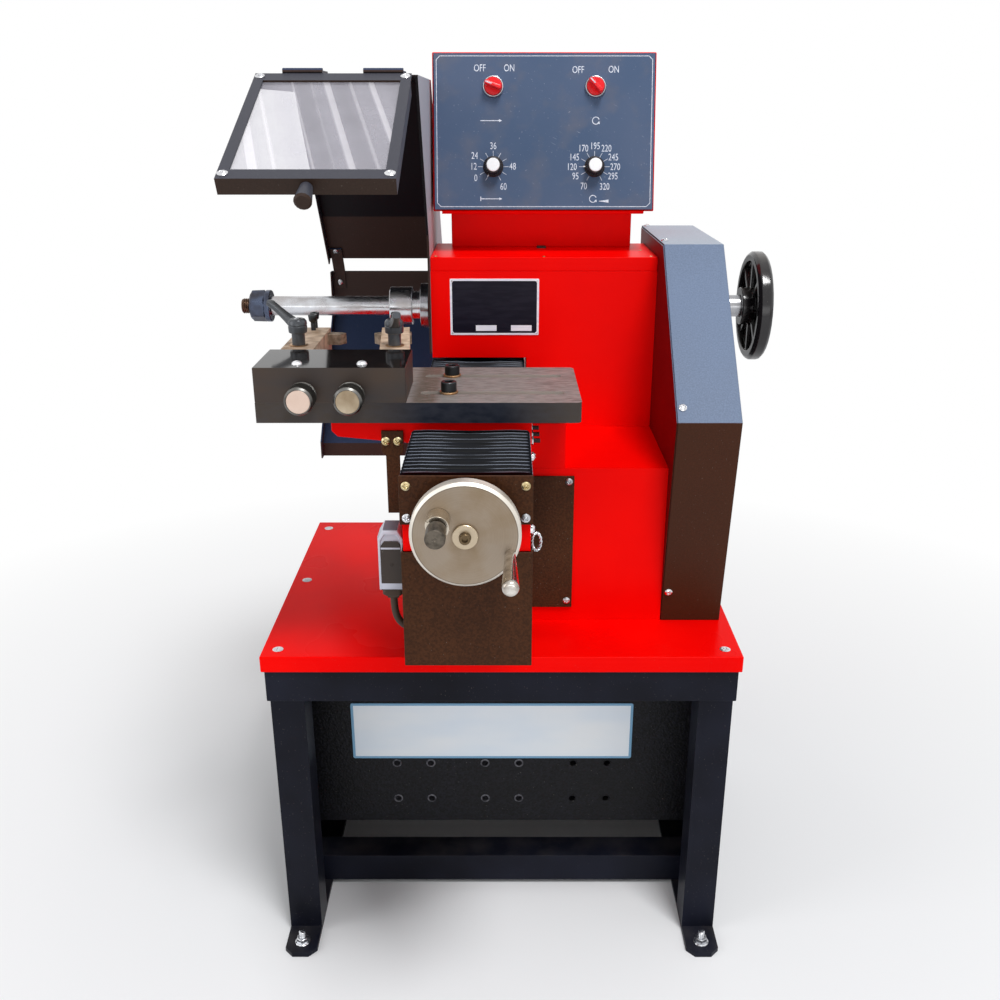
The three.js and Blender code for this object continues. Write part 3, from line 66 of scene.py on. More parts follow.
bpy.context.scene.view_settings.view_transform = "Standard"


# Room: a plain pale floor and soft studio light. The floor keeps the shadow near the machine and turns
# white further out for the camera, where it meets the white surroundings.
def colour(red, green, blue):
    """A colour given as 0 to 255 for each channel, as the linear values that a shader takes."""
    share = np.array([red, green, blue]) / 255
    linear = np.where(share <= 0.04045, share / 12.92, ((share + 0.055) / 1.055) ** 2.4)
    return (*linear.tolist(), 1.0)


def wire(socket, value):
    """Joins a socket to another node's output, or gives it a plain value. Three numbers are a colour."""
    if isinstance(value, bpy.types.NodeSocket):
        socket.id_data.links.new(value, socket)
    else:
        socket.default_value = colour(*value) if socket.type == "RGBA" and len(value) == 3 else value


def add(kind, choices=None, **inputs):
    """One node in the tree being made: choices are its own settings, and inputs are its sockets by name."""
    node = tree.nodes.new("ShaderNode" + kind)
    for name, value in (choices or {}).items():
        setattr(node, name, value)
    for name, value in inputs.items():
        wire(node.inputs[name.replace("_", " ")], value)
    return node


def calc(operation, *values):
    """One step of arithmetic on values or masks."""
    node = add("Math", {"operation": operation})
    for socket, value in zip(node.inputs, values):
        wire(socket, value)
    return node.outputs[0]


def times(one, other):
    """The product of two values or masks."""
    return calc("MULTIPLY", one, other)


def split(vector="Object"):
    """The X, Y and Z of a vector, or of the texture coordinate with this name."""
    vector = add("TexCoord").outputs[vector] if isinstance(vector, str) else vector
    return add("SeparateXYZ", Vector=vector).outputs


def spread(value, low, high, start=0.0, end=1.0):
    """A value rescaled from low..high to start..end and held at both ends."""
    node = add("MapRange", Value=value)
    for socket, limit in zip(list(node.inputs)[1:5], (low, high, start, end)):
        wire(socket, limit)
    return node.outputs[0]


floor_half = 9.0
floor_shadow_reach = 0.55
floor_white_from = 1.6
floor_mesh = bpy.data.meshes.new("floor")
floor_corners = np.array([(-1, -1, 0), (1, -1, 0), (1, 1, 0), (-1, 1, 0)]) * floor_half
floor_mesh.from_pydata(floor_corners.tolist(), [], [(0, 1, 2, 3)])
floor = bpy.data.objects.new("floor", floor_mesh)
bpy.context.scene.collection.objects.link(floor)
floor_material = bpy.data.materials.new("pale_floor")
floor_material.use_nodes = True
tree = floor_material.node_tree
tree.nodes.clear()
rays = add("LightPath").outputs
distance = add("VectorMath", {"operation": "LENGTH"})
wire(distance.inputs[0], add("TexCoord").outputs["Object"])
far = spread(distance.outputs["Value"], floor_shadow_reach, floor_white_from)
seen = times(far, rays["Is Camera Ray"])
matt = add("BsdfDiffuse", Color=(236, 237, 239))
glow = add("Emission", Color=(1, 1, 1, 1), Strength=1.0)
both = add("MixShader", Fac=seen)
wire(both.inputs[1], matt.outputs[0])
wire(both.inputs[2], glow.outputs[0])
wire(add("OutputMaterial").inputs["Surface"], both.outputs[0])
floor_mesh.materials.append(floor_material)

world = bpy.data.worlds.new("studio")
world.use_nodes = True
bpy.context.scene.world = world
tree = world.node_tree
tree.nodes.clear()
rays = add("LightPath").outputs
shown = calc("MAXIMUM", rays["Is Camera Ray"], rays["Is Glossy Ray"])
shown = calc("MAXIMUM", shown, rays["Is Transmission Ray"])
room_light = 0.5
strength = spread(shown, 0.0, 1.0, room_light, 1.0)
sky = add("Background", Color=(1, 1, 1, 1), Strength=strength)
wire(add("OutputWorld").inputs["Surface"], sky.outputs[0])

# name, place, width and height of the lamp, power in watts
lamps = [
    ("key_lamp", (0.9, -1.7, 4.6), (1.2, 1.2), 140.0), ("side_lamp", (-2.8, -1.2, 1.7), (1.4, 2.0), 18.0),
    ("low_lamp", (0.2, -3.2, 0.7), (2.4, 1.0), 10.0),
]
lamp_aim = Vector((0, 0, 0.55))
for lamp_name, lamp_place, lamp_size, lamp_power in lamps:
    lamp = bpy.data.objects.new(lamp_name, bpy.data.lights.new(lamp_name, "AREA"))
    lamp.data.shape = "RECTANGLE"
    lamp.data.size, lamp.data.size_y = lamp_size
    lamp.data.energy = lamp_power
    lamp.location = lamp_place
    lamp.rotation_euler = (Vector(lamp_place) - lamp_aim).to_track_quat("Z", "Y").to_euler()
    bpy.context.scene.collection.objects.link(lamp)


# Stand: rails, legs, foot bars and side sheets of mild steel, welded and sprayed in one coat of
# blue-black paint that has settled with a faint orange peel and a little dust on its upper faces.
def place(centre=(0, 0, 0), turn=(0, 0, 0), stretch=(1, 1, 1)):
    """Object coordinates in metres, measured from a centre, turned, and stretched along each axis."""
    own = add("TexCoord").outputs["Object"]
    mapping = add("Mapping", {"vector_type": "TEXTURE"}, Vector=own)
    for socket, value in zip(list(mapping.inputs)[1:4], (centre, turn, stretch)):
        wire(socket, value)
    return mapping.outputs[0]


def grain(where, size, detail=2.0):
    """Cloudy noise from 0 to 1 whose lumps are about size metres across."""
    scale = calc("DIVIDE", 1.0, size) if isinstance(size, bpy.types.NodeSocket) else 1 / size
    return add("TexNoise", Vector=where, Scale=scale, Detail=detail).outputs[0]


def mixed(share, first, second, way="MIX"):
    """Two colours mixed by a mask."""
    node = add("Mix", {"data_type": "RGBA", "blend_type": way})
    for index, value in ((0, share), (6, first), (7, second)):
        wire(node.inputs[index], value)
    return node.outputs[2]


def raised(height):
    """The surface normal over a height in metres."""
    return add("Bump", Strength=1.0, Distance=1.0, Height=height).outputs[0]


def effect(name, inputs, outputs):
    """An empty node group for an effect that several finishes share, with its ends. It is the tree being
    made until the next one is begun."""
    global tree
    group = bpy.data.node_groups.new(name, "ShaderNodeTree")
    for label, value in inputs.items():
        socket = group.interface.new_socket(label, in_out="INPUT", socket_type="NodeSocketFloat")
        socket.default_value = value
    for label, kind in outputs.items():
        group.interface.new_socket(label, in_out="OUTPUT", socket_type="NodeSocket" + kind)
    start = group.nodes.new("NodeGroupInput")
    end = group.nodes.new("NodeGroupOutput")
    tree = group
    return group, start.outputs, end.inputs


def use(group, **inputs):
    """A shared effect placed in a finish with its own values; gives the effect's outputs."""
    return add("Group", {"node_tree": group}, **inputs).outputs


def coat(**inputs):
    """Sets or wires inputs, by name, of the Principled shader in the material being made."""
    shader = tree.nodes["Principled BSDF"]
    for label, value in inputs.items():
        wire(shader.inputs[label.replace("_", " ")], value)


def finish(name, **plain):
    """Begins a material, which is the tree being made from here on, with its plain values set."""
    global tree
    material = bpy.data.materials.new(name)
    material.use_nodes = True
    tree = material.node_tree
    coat(**plain)
    return material


def reopened(material):
    """Takes a material up again and gives the tone and the roughness that it has so far."""
    global tree
    tree = material.node_tree
    inputs = tree.nodes["Principled BSDF"].inputs
    return [inputs[label].links[0].from_socket for label in ("Base Color", "Roughness")]


# Sprayed paint: fine peel for the normal, slow clouds for tone, rare specks of settled dust.
paint_skin, given, result = effect(
    "paint_skin", {"Cell": 0.0022, "Lift": 0.00003},
    {"Normal": "Vector", "Cloud": "Float", "Speck": "Float", "Peel": "Float"},
)
own_place = place()
cloud_size = 0.09
speck_size = 0.0016
peel = grain(own_place, given["Cell"])
wire(result["Peel"], peel)
wire(result["Normal"], raised(times(peel, given["Lift"])))
wire(result["Cloud"], spread(grain(own_place, cloud_size), 0.3, 0.7))
speck_noise = grain(own_place, speck_size, 0.0)
wire(result["Speck"], spread(speck_noise, 0.80, 0.86))

# Settled dust: lies on faces that look up, thicker in clouds.
settled_dust, given, result = effect("settled_dust", {"Amount": 0.3}, {"Mask": "Float"})
upward = add("SeparateXYZ", Vector=add("TexCoord").outputs["Normal"])
upward = spread(upward.outputs["Z"], 0.5, 1.0)
dust_size = 0.035
dust_cloud = spread(grain(place(), dust_size, 6.0), 0.35, 0.75)
dust_mask = times(times(upward, dust_cloud), given["Amount"])
wire(result["Mask"], dust_mask)


def sprayed(
    name, tone, light_tone, roughness, cell=0.0022, lift=0.00003, dust=0.12, speck=0.25, painted_relief=0.0, **plain
):
    """Sprayed paint in a tone that drifts to a lighter one, with peel, specks and dust on top. painted_relief
    is how much paler the crests of a wrinkle paint are painted than its mean, and how much darker its pits: a
    painted highlight and painted shade."""
    material = finish(name, **plain)
    skin = use(paint_skin, Cell=cell, Lift=lift)
    dusty = use(settled_dust, Amount=dust)["Mask"]
    body = mixed(skin["Cloud"], tone, light_tone)
    # Painted highlight and shade: the wrinkle's crests are made paler and its pits darker.
    if painted_relief:
        shaded = add("VectorMath", {"operation": "SCALE"}, Vector=body)
        wire(shaded.inputs["Scale"], spread(skin["Peel"], 0.36, 0.64, 1 - painted_relief * 0.8, 1 + painted_relief))
        body = shaded.outputs[0]
    dust_tone = (168, 160, 150)
    body = mixed(times(skin["Speck"], speck), body, dust_tone)
    coat(Base_Color=mixed(dusty, body, dust_tone))
    coat(Roughness=spread(skin["Cloud"], 0.0, 1.0, roughness, roughness + 0.07))
    coat(Normal=skin["Normal"])
    return material


def round_edges(piece, width, limit=math.radians(35)):
    """Breaks a piece's hard edges with a small round and keeps its flats flat in the light."""
    edge = piece.modifiers.new("edge", "BEVEL")
    edge.width = width
    edge.segments = 2
    edge.angle_limit = limit
    edge.harden_normals = False
    piece.modifiers.new("normals", "WEIGHTED_NORMAL")


def dress(name, material, edge=0.0006):
    """Finishes a frame node: its loose faces are joined and flattened, and its edges broken."""
    piece = nodes[name]
    piece.data.materials.clear()
    piece.data.materials.append(material)
    piece.data.shade_smooth()
    piece.modifiers.new("join", "WELD").merge_threshold = 1e-5
    flat = piece.modifiers.new("flat", "DECIMATE")
    flat.decimate_type = "DISSOLVE"
    flat.angle_limit = math.radians(0.4)
    round_edges(piece, edge)
    return piece


stand_paint = sprayed(
    "stand_paint", (17, 18, 26), (26, 28, 40), 0.34, dust=0.06, speck=0.12, Specular_IOR_Level=0.1
)
for node_name in (
    "stand_top_frame", "stand_side_left", "stand_side_right", "stand_lower_rail", "stand_back_panel"
):
    dress(node_name, stand_paint, 0.0012)


# Front of the stand: the front panel is a folded sheet with three pairs of holes in two rows, sprayed in a
# wrinkle paint. A plain printed board is stuck to it just under the table's apron.
def grid_faces(rows, columns, wrap_rows=False, wrap_columns=False):
    """Quads between the neighbours of a grid; a wrapped direction joins its last line to its first."""
    spans = np.arange(rows - 1 + wrap_rows), np.arange(columns - 1 + wrap_columns)
    i, j = (line.ravel() for line in np.meshgrid(*spans, indexing="ij"))
    below, beside = (i + 1) % rows, (j + 1) % columns
    return np.stack(
        [i * columns + j, i * columns + beside, below * columns + beside, below * columns + j], -1
    )


to_front = (0, -1, 0)


def facing(at, out, up=(0, 0, 1)):
    """The placement whose local Z points out and whose local Y leans towards up, at a point."""
    out = Vector(out).normalized()
    right = Vector(up).cross(out).normalized()
    turn = Matrix((right, out.cross(right), out)).transposed().to_4x4()
    return Matrix.Translation(at) @ turn


def moved(shape, placement):
    """A shape, which is its points and faces, under a placement or shifted by three numbers."""
    points, faces = shape
    grid = np.array(Matrix.Translation(placement) if isinstance(placement, tuple) else placement)
    return points @ grid[:3, :3].T + grid[:3, 3], faces


def together(shapes):
    """Several shapes as one."""
    counts = np.cumsum([0, *[len(points) for points, _ in shapes]])
    faces = [faces + start for (_, faces), start in zip(shapes, counts)]
    return np.concatenate([points for points, _ in shapes]), np.concatenate(faces)


def make(name, shape, material, edge=0.0, limit=math.radians(35)):
    """A mesh object at the origin: doubles are merged, faces turned outwards, and hard edges broken."""
    mesh = bpy.data.meshes.new(name)
    points, faces = shape
    mesh.from_pydata(points.tolist(), [], faces.tolist())
    form = bmesh.new()
    form.from_mesh(mesh)
    bmesh.ops.remove_doubles(form, verts=form.verts, dist=2e-6)
    bmesh.ops.recalc_face_normals(form, faces=form.faces)
    form.to_mesh(mesh)
    form.free()
    mesh.shade_smooth()
    mesh.set_sharp_from_angle(angle=limit)
    mesh.materials.append(material)
    piece = bpy.data.objects.new(name, mesh)
    bpy.context.scene.collection.objects.link(piece)
    if edge:
        round_edges(piece, edge, limit)
    return piece


def plate_shape(half_width, half_height, corner, levels, steps=7):
    """A flat plate with round corners. At each level (inset, height) its outline is the corner centres
    plus (corner - inset) times a unit circle; the first and last levels close in their middle."""
    quarter = np.repeat(np.arange(4), steps)
    angle = (quarter + np.tile(np.linspace(0, 1, steps), 4)) * np.pi / 2
    middle = (quarter + 0.5) * np.pi / 2
    closed = max(half_width, half_height)
    inset, height = np.array([(closed, levels[0][1]), *levels, (closed, levels[-1][1])]).T
    kept = np.maximum(corner - inset, 0)[:, None]
    reach = np.maximum(corner, inset)[:, None]
    x = np.sign(np.cos(middle)) * np.maximum(half_width - reach, 0) + kept * np.cos(angle)
    y = np.sign(np.sin(middle)) * np.maximum(half_height - reach, 0) + kept * np.sin(angle)
    points = np.stack([x, y, height[:, None] + 0 * x], -1).reshape(-1, 3)
    return points, grid_faces(len(height), 4 * steps, wrap_columns=True)


def belongs(piece, body="stand_and_frame", stands_for=None):
    """The piece moves with a body, and may stand for a frame node."""
    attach(piece, body)
    if stands_for:
        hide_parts(stands_for)
    return piece


def build(name, shape, material, body="stand_and_frame", stands_for=None, edge=0.0):
    """A piece that belongs to a body. Its shape may be a list of shapes, which become one mesh."""
    shape = together(shape) if isinstance(shape, list) else shape
    return belongs(make(name, shape, material, edge), body, stands_for)


def within(across, up, half_wide, half_high):
    """How far a place lies inside a rectangle's nearest side; it is below zero outside."""
    from_side = calc("SUBTRACT", half_wide, calc("ABSOLUTE", across))
    from_end = calc("SUBTRACT", half_high, calc("ABSOLUTE", up))
    return calc("MINIMUM", from_side, from_end)


# Its wrinkle crests carry a painted highlight and its pits painted shade.
wrinkle_paint = sprayed(
    "wrinkle_paint", (7, 7, 11), (13, 13, 19), 0.38, cell=0.0026, lift=0.0007, dust=0.06, speck=0.35,
    painted_relief=1.1, Specular_IOR_Level=0.2,
)
dress("stand_front_panel", wrinkle_paint, 0.0005)

board_left, board_right, board_low, board_high = -0.197, 0.171, 0.186, 0.270
board_thickness = 0.0012
board_border = 0.0035
board_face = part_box("stand_front_panel")[0].y
board_middle = Vector(((board_left + board_right) / 2, board_face, (board_low + board_high) / 2))
board_half = ((board_right - board_left) / 2, (board_high - board_low) / 2)
board_print = finish("board_print", Roughness=0.35, Specular_IOR_Level=0.4)
board_spot = split(place(centre=board_middle))
inner = calc("GREATER_THAN", within(board_spot["X"], board_spot["Z"], *board_half), board_border)
haze = spread(grain(place(stretch=(3, 1, 1)), 0.05), 0.35, 0.65)
board_white = mixed(haze, (246, 251, 255), (232, 243, 254))
coat(Base_Color=mixed(inner, (120, 170, 205), board_white))
board_levels = [(0, 0), (0, board_thickness * 0.7), (board_thickness * 0.3, board_thickness)]
build(
    "blank_board", moved(plate_shape(*board_half, 0.003, board_levels), facing(board_middle, to_front)),
    board_print,
)


# Levelling bolts: a zinc-plated stud through each end of the foot bars, with a flanged hexagon nut on it.
# Both are turned profiles, and the stud's thread is cut into its radius.
def lathe(profile, sides=64, facets=None):
    """A turned shape about local Z. Point (i, j) lies at the i-th place along the axis, at the i-th radius
    times facets(i, angle j), where angle j is 2 pi j / sides."""
    along, radius = np.array(profile, float).T
    angle = np.linspace(0, 2 * np.pi, sides, endpoint=False)
    share = np.ones((len(along), sides)) if facets is None else facets(along[:, None], angle[None, :])
    reach = radius[:, None] * share
    points = np.stack([reach * np.cos(angle), reach * np.sin(angle), along[:, None] + 0 * reach], -1)
    return points.reshape(-1, 3), grid_faces(len(along), sides, wrap_columns=True)


def hexagon(angle):
    """The radius, at an angle, of a hexagon whose flats lie at 1: 1 / cos of the angle from the nearest
    flat's middle."""
    sector = np.pi / 3
    return 1 / np.cos((angle + sector / 2) % sector - sector / 2)


def thread(low, high, pitch, depth):
    """A screw thread between two places along the axis: the radius drops by depth as a share of itself
    in a triangle wave of the phase along / pitch - angle / 2 pi."""

    def share(along, angle):
        phase = (along / pitch - angle / (2 * np.pi)) % 1
        cut = depth * np.abs(2 * phase - 1)
        return np.where((along > low) & (along < high), 1 - cut, 1.0)

    return share


def threaded_run(start, end, radius, pitch, rows_per_turn=6):
    """Profile points close enough together to carry a thread."""
    count = int(abs(end - start) / pitch * rows_per_turn)
    return [(along, radius) for along in np.linspace(start, end, count)]


def metal(name, tone, dark_tone, roughness, metallic=1.0, blotch=0.02, **plain):
    """Bare or plated steel: its tone drifts in small blotches, and where it is darker it is duller."""
    material = finish(name, Metallic=metallic, **plain)
    blotches = spread(grain(place(), blotch, 6.0), 0.38, 0.68)
    coat(Base_Color=mixed(blotches, tone, dark_tone))
    coat(Roughness=spread(blotches, 0.0, 1.0, roughness, roughness + 0.14))
    fine_size = 0.0009
    fine_lift = 0.000012
    fine = times(grain(place(), fine_size), fine_lift)
    coat(Normal=raised(fine))
    return material


white_zinc = metal("white_zinc", (222, 224, 228), (150, 152, 156), 0.24)
foot_bolt_inset = 0.020
stud_radius, stud_top, stud_pitch = 0.004, 0.0155, 0.00125
nut_radius, nut_height, flange_radius, flange_height = 0.0065, 0.0075, 0.0095, 0.0016
stud_shape = lathe(
    [
        (0, 0), *threaded_run(0, stud_top, stud_radius, stud_pitch), (stud_top + 0.0006, 0.003),
        (stud_top + 0.0006, 0),
    ],
    32, thread(0, stud_top, stud_pitch, 0.12),
)
nut_shape = lathe(
    [
        (0, 0), (0, flange_radius), (flange_height / 2, flange_radius),
        (flange_height, flange_radius * 0.86), (flange_height, nut_radius),
        (nut_height - 0.0006, nut_radius), (nut_height, nut_radius * 0.9), (nut_height, 0),
    ],
    48,
    lambda along, angle: np.where(
        (along > flange_height * 0.99) & (along < nut_height * 0.99), hexagon(angle), 1.0
    ),
)
foot_low, foot_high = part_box("stand_side_left")
bar_top = 0.006
bolt_x = abs((foot_low.x + foot_high.x) / 2)
bolt_places = [
    (side * bolt_x, y, bar_top)
    for side in (-1, 1)
    for y in (foot_low.y + foot_bolt_inset, foot_high.y - foot_bolt_inset)
]
bolt_shape = together([stud_shape, nut_shape])
build(
    "levelling_bolts", [moved(bolt_shape, facing(at, (0, 0, 1), (0, 1, 0))) for at in bolt_places],
    white_zinc, edge=0.0002,
)


# Panel nuts: blind rivet nuts with closed ends, pressed into the front panel's holes. Those of the
# right-hand pair of each row were painted over with the panel.
panel_nut_steel = metal("panel_nut_steel", (104, 104, 110), (52, 52, 58), 0.4, 0.6, 0.004)
panel_nut_depth, panel_nut_wall, panel_nut_flange, panel_nut_bore = 0.010, 0.0049, 0.0060, 0.0042
panel_nut_shape = lathe(
    [
        (-panel_nut_depth, 0), (-panel_nut_depth, panel_nut_wall), (0, panel_nut_wall),
        (0, panel_nut_flange), (0.0004, panel_nut_flange), (0.0006, panel_nut_flange - 0.0003),
        (0.0006, panel_nut_bore + 0.0003), (0.0003, panel_nut_bore),
        (0.0008 - panel_nut_depth, panel_nut_bore), (0.0008 - panel_nut_depth, 0),
    ],
    32,
)
hole_rows, pair_pitch, half_hole_pitch = (0.122, 0.178), 0.117, 0.0225
for nuts_name, pairs, nuts_metal in (
    ("panel_nuts_bright", (-1, 0), panel_nut_steel), ("panel_nuts_painted", (1,), wrinkle_paint)
):
    nut_places = [
        facing((pair * pair_pitch + half * half_hole_pitch, board_face, z), to_front)
        for pair in pairs
        for half in (-1, 1)
        for z in hole_rows
    ]
    build(nuts_name, [moved(panel_nut_shape, at) for at in nut_places], nuts_metal)


# Table: a steel sheet folded down over the frame and sprayed glossy red. Six countersunk screws, three along
# each side, hold it down.
def cross_head(radius, height, rings=14, sides=40):
    """A domed screw head about local Z. Its height at share s of the radius is height (1 - 0.6 s s), less
    a cross-shaped dent whose arms fade out at half the radius."""
    share = np.linspace(0, 1, rings)[:, None]
    angle = np.linspace(0, 2 * np.pi, sides, endpoint=False)[None, :]
    x, y = share * np.cos(angle), share * np.sin(angle)

    def arm(across, along):
        return np.clip((0.2 - abs(across)) / 0.08, 0, 1) * np.clip((0.62 - abs(along)) / 0.12, 0, 1)

    dent = np.maximum(arm(x, y), arm(y, x)) * 0.55
    dome = height * (1 - 0.6 * share**2 - dent)
    points = np.stack([radius * x, radius * y, dome + 0 * x], -1).reshape(-1, 3)
    foot = np.stack([radius * np.cos(angle[0]), radius * np.sin(angle[0]), 0 * angle[0]], -1)
    return np.concatenate([points, foot]), grid_faces(rings + 1, sides, wrap_columns=True)


def heads(name, places, radius, height, material, body="stand_and_frame"):
    """Like screws, each given by its place, the way that it faces and the turn of its cross."""
    shape = cross_head(radius, height)
    shapes = []
    for turn, (at, out) in enumerate(places):
        up = (0, 1, 0) if abs(out[2]) > 0.9 else (0, 0, 1)
        shapes.append(moved(shape, facing(at, out, up) @ Matrix.Rotation(turn * 0.9, 4, "Z")))
    return build(name, shapes, material, body)


red_tone, red_light = (238, 2, 1), (247, 6, 2)
red_gloss = sprayed(
    "red_gloss", red_tone, red_light, 0.26, cell=0.003, lift=0.00002, dust=0.0, speck=0.08,
    Specular_IOR_Level=0.04,
)
red_sheet = sprayed(
    "red_sheet", red_tone, red_light, 0.3, cell=0.003, lift=0.00003, dust=0.0, speck=0.06,
    Specular_IOR_Level=0.04,
)
dress("table_top", red_gloss, 0.0012)
table_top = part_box("table_top")[1].z
table_screw_x = 0.257
table_screw_rows = (-0.1175, 0.0695, 0.2495)
heads(
    "table_screws",
    [((side * table_screw_x, y, table_top), (0, 0, 1)) for side in (-1, 1) for y in table_screw_rows],
    0.0062, 0.0008, white_zinc,
)


# Base housing: a red box on the table that holds the motor. Its front hole is closed by a plate in
# brown-black wrinkle paint, held by a pan-head screw in each corner.
# Its wrinkle crests carry a painted highlight and its pits painted shade.
brown_wrinkle = sprayed(
    "brown_wrinkle", (56, 30, 14), (68, 39, 20), 0.5, cell=0.0024, lift=0.0005, dust=0.06, speck=0.25,
    painted_relief=0.26, Specular_IOR_Level=0.12,
)
red_cast = sprayed(
    "red_cast", red_tone, red_light, 0.3, cell=0.006, lift=0.00008, dust=0.0, speck=0.1,
    Specular_IOR_Level=0.04,
)
dress("base_housing", red_sheet, 0.0012)
dress("base_cover_plate", brown_wrinkle, 0.0006)
plate_low, plate_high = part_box("base_cover_plate")
plate_screw_inset = 0.0062
heads(
    "cover_plate_screws",
    [
        ((x, plate_low.y, z), to_front)
        for x in (plate_low.x + plate_screw_inset, plate_high.x - plate_screw_inset)
        for z in (plate_low.z + plate_screw_inset + 0.003, plate_high.z - plate_screw_inset)
    ],
    0.0042, 0.0024, white_zinc,
)


# Motor and belts inside: a grey enamelled motor stands in the base housing, and its machined pulley drives
# the spindle pulley through a rubber belt. The small feed motor under the bed has the same finish.
motor_enamel = sprayed("motor_enamel", (62, 68, 74), (74, 80, 86), 0.42, dust=0.3, lift=0.00006)
turned_iron = metal("turned_iron", (150, 150, 150), (105, 102, 98), 0.34)
belt_rubber = finish("belt_rubber", Roughness=0.75, Specular_IOR_Level=0.3)
belt_streaks = spread(grain(place(stretch=(0.05, 1, 1)), 0.02, 4.0), 0.3, 0.7)
coat(Base_Color=mixed(belt_streaks, (22, 22, 23), (38, 37, 36)))
for node_name in ("drive_motor", "feed_motor"):
    dress(node_name, motor_enamel, 0.0015)
for node_name in ("motor_pulley", "feed_motor_pulley", "spindle_pulley"):
    dress(node_name, turned_iron, 0.0008)
for node_name in ("drive_belt", "feed_belt"):
    dress(node_name, belt_rubber, 0.0006)


# Bed: an iron casting in red, rough from the sand mould, with a folded cover in brown-black wrinkle paint
# under its front and a clamp plate that holds the pleated cover's front edge.
dress("bed_casting", red_cast, 0.0012)
dress("bed_front_cover", brown_wrinkle, 0.0008)
dress("bellows_clamp_plate", brown_wrinkle, 0.0005)
yellow_zinc = metal("yellow_zinc", (224, 212, 172), (172, 146, 92), 0.28)
clamp_low, clamp_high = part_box("bellows_clamp_plate")
clamp_screw_inset = 0.0065
clamp_screw_heights = (0.6809, 0.6506)
for row_name, row_height, row_metal in zip(
    ("upper", "lower"), clamp_screw_heights, (yellow_zinc, white_zinc)
):
    heads(
        "clamp_screws_" + row_name,
        [
            ((x, clamp_low.y, row_height), to_front)
            for x in (clamp_low.x + clamp_screw_inset, clamp_high.x - clamp_screw_inset)
        ],
        0.0041, 0.0026, row_metal,
    )


# Pleated way covers: rubberised cloth folded across the ways, glued to the clamp plate or the rear wall at
# one end and to the cross slide at the other.
pleat_depth = 0.0055
cloth_thickness = 0.0011


def pleated(near, far, count, left, right, low, high, corner=0.004, steps=6):
    """Folded cloth. Row i is a round-cornered arch over the ways whose half width and height are less by
    depth times fold(p), where p counts pleats and fold is |2 (p mod 1) - 1| turned over and rounded."""
    rows = count * steps + 1
    phase = np.arange(rows) / steps
    fold = 1 - np.abs(2 * (phase % 1) - 1)
    fold = fold**0.6
    wave = 0.0004 * np.sin(phase * 2.4)[:, None]
    turn = np.linspace(0, np.pi / 2, 6)
    across = np.linspace(-1, 1, 9)[1:-1]
    half, middle = (right - left) / 2, (left + right) / 2
    inward = (pleat_depth * fold)[:, None] + np.array([0, cloth_thickness])
    shells = []
    for shell in range(2):
        reach = half - inward[:, shell : shell + 1]
        top = high - inward[:, shell : shell + 1]
        bend_x = -(reach - corner) - corner * np.cos(turn)
        bend_z = top - corner + corner * np.sin(turn)
        foot = np.full((rows, 1), low)
        over_x = (reach - corner) * across
        over_z = top - wave * np.cos(across * np.pi / 2) - 0.0005 * np.cos(across * 4)
        x = np.concatenate([-reach, bend_x, over_x, -bend_x[:, ::-1], reach], 1)
        z = np.concatenate([foot, bend_z + 0 * reach, over_z, bend_z[:, ::-1] + 0 * reach, foot], 1)
        shells.append((x if shell == 0 else x[:, ::-1], z if shell == 0 else z[:, ::-1]))
    x, z = (np.concatenate([shells[0][k], shells[1][k]], 1) for k in (0, 1))
    y = near + (far - near) * (phase / count)[:, None]
    points = np.stack([middle + x, y + 0 * x, z], -1).reshape(-1, 3)
    columns = x.shape[1]
    outer = np.arange(columns // 2 - 1)
    inner = columns - 1 - outer
    end = (rows - 1) * columns
    caps = [
        np.stack([start + outer, start + outer + 1, start + inner - 1, start + inner], -1)
        for start in (0, end)
    ]
    return points, np.concatenate([grid_faces(rows, columns, wrap_columns=True), *caps])


pleat_cloth = finish("pleat_cloth", Specular_IOR_Level=0.1)
crest = add("Attribute", {"attribute_name": "crest"}).outputs["Fac"]
weave_size = 0.0007
rub = spread(grain(place(stretch=(4, 1, 1)), 0.012, 5.0), 0.35, 0.7)
# Thin pale lines along the pleats' crests are a painted highlight, varied by a slow cloud.
painted_crest_highlight = times(spread(crest, 0.90, 0.985), spread(rub, 0, 1, 0.75, 1.0))
cloth_tone = mixed(rub, (5, 6, 9), (14, 17, 25))
coat(Base_Color=mixed(painted_crest_highlight, cloth_tone, (150, 158, 174)))
coat(Roughness=spread(rub, 0, 1, 0.36, 0.55))
weave_lift = times(grain(place(), weave_size), 0.00004)
coat(Normal=raised(weave_lift))
for cover_name, fixed_end, moving_end, pleat_count in (
    ("front_bellows", "near", "far", 13), ("rear_bellows", "far", "near", 22)
):
    low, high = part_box(cover_name)
    bellows = make(
        cover_name + "_cloth", pleated(low.y, high.y, pleat_count, low.x, high.x, low.z, high.z),
        pleat_cloth,
    )
    middle_x, middle_z = (low.x + high.x) / 2, (low.z + high.z) / 2
    spot = np.empty(len(bellows.data.vertices) * 3)
    bellows.data.vertices.foreach_get("co", spot)
    spot = spot.reshape(-1, 3)
    below_top = high.z - spot[:, 2]
    inside_edge = (high.x - low.x) / 2 - np.abs(spot[:, 0] - middle_x)
    out_share = 1 - np.minimum(below_top, inside_edge) / pleat_depth
    bellows.data.attributes.new("crest", "FLOAT", "POINT").data.foreach_set(
        "value", np.clip(out_share, 0, 1)
    )
    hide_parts(cover_name)
    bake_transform(bellows)


# Feed screw and its dial: a bright turned disc on the screw's nose, held by a washer and a socket screw.
# Its face is brushed in rings and has taken on tan stains; the thick collar on it guides the spring plunger.
def lined(along, scale, detail):
    """Noise from 0 to 1 that changes along one value only, as brushed lines and streaks do."""
    return add("TexNoise", {"noise_dimensions": "1D"}, W=along, Scale=scale, Detail=detail).outputs[0]


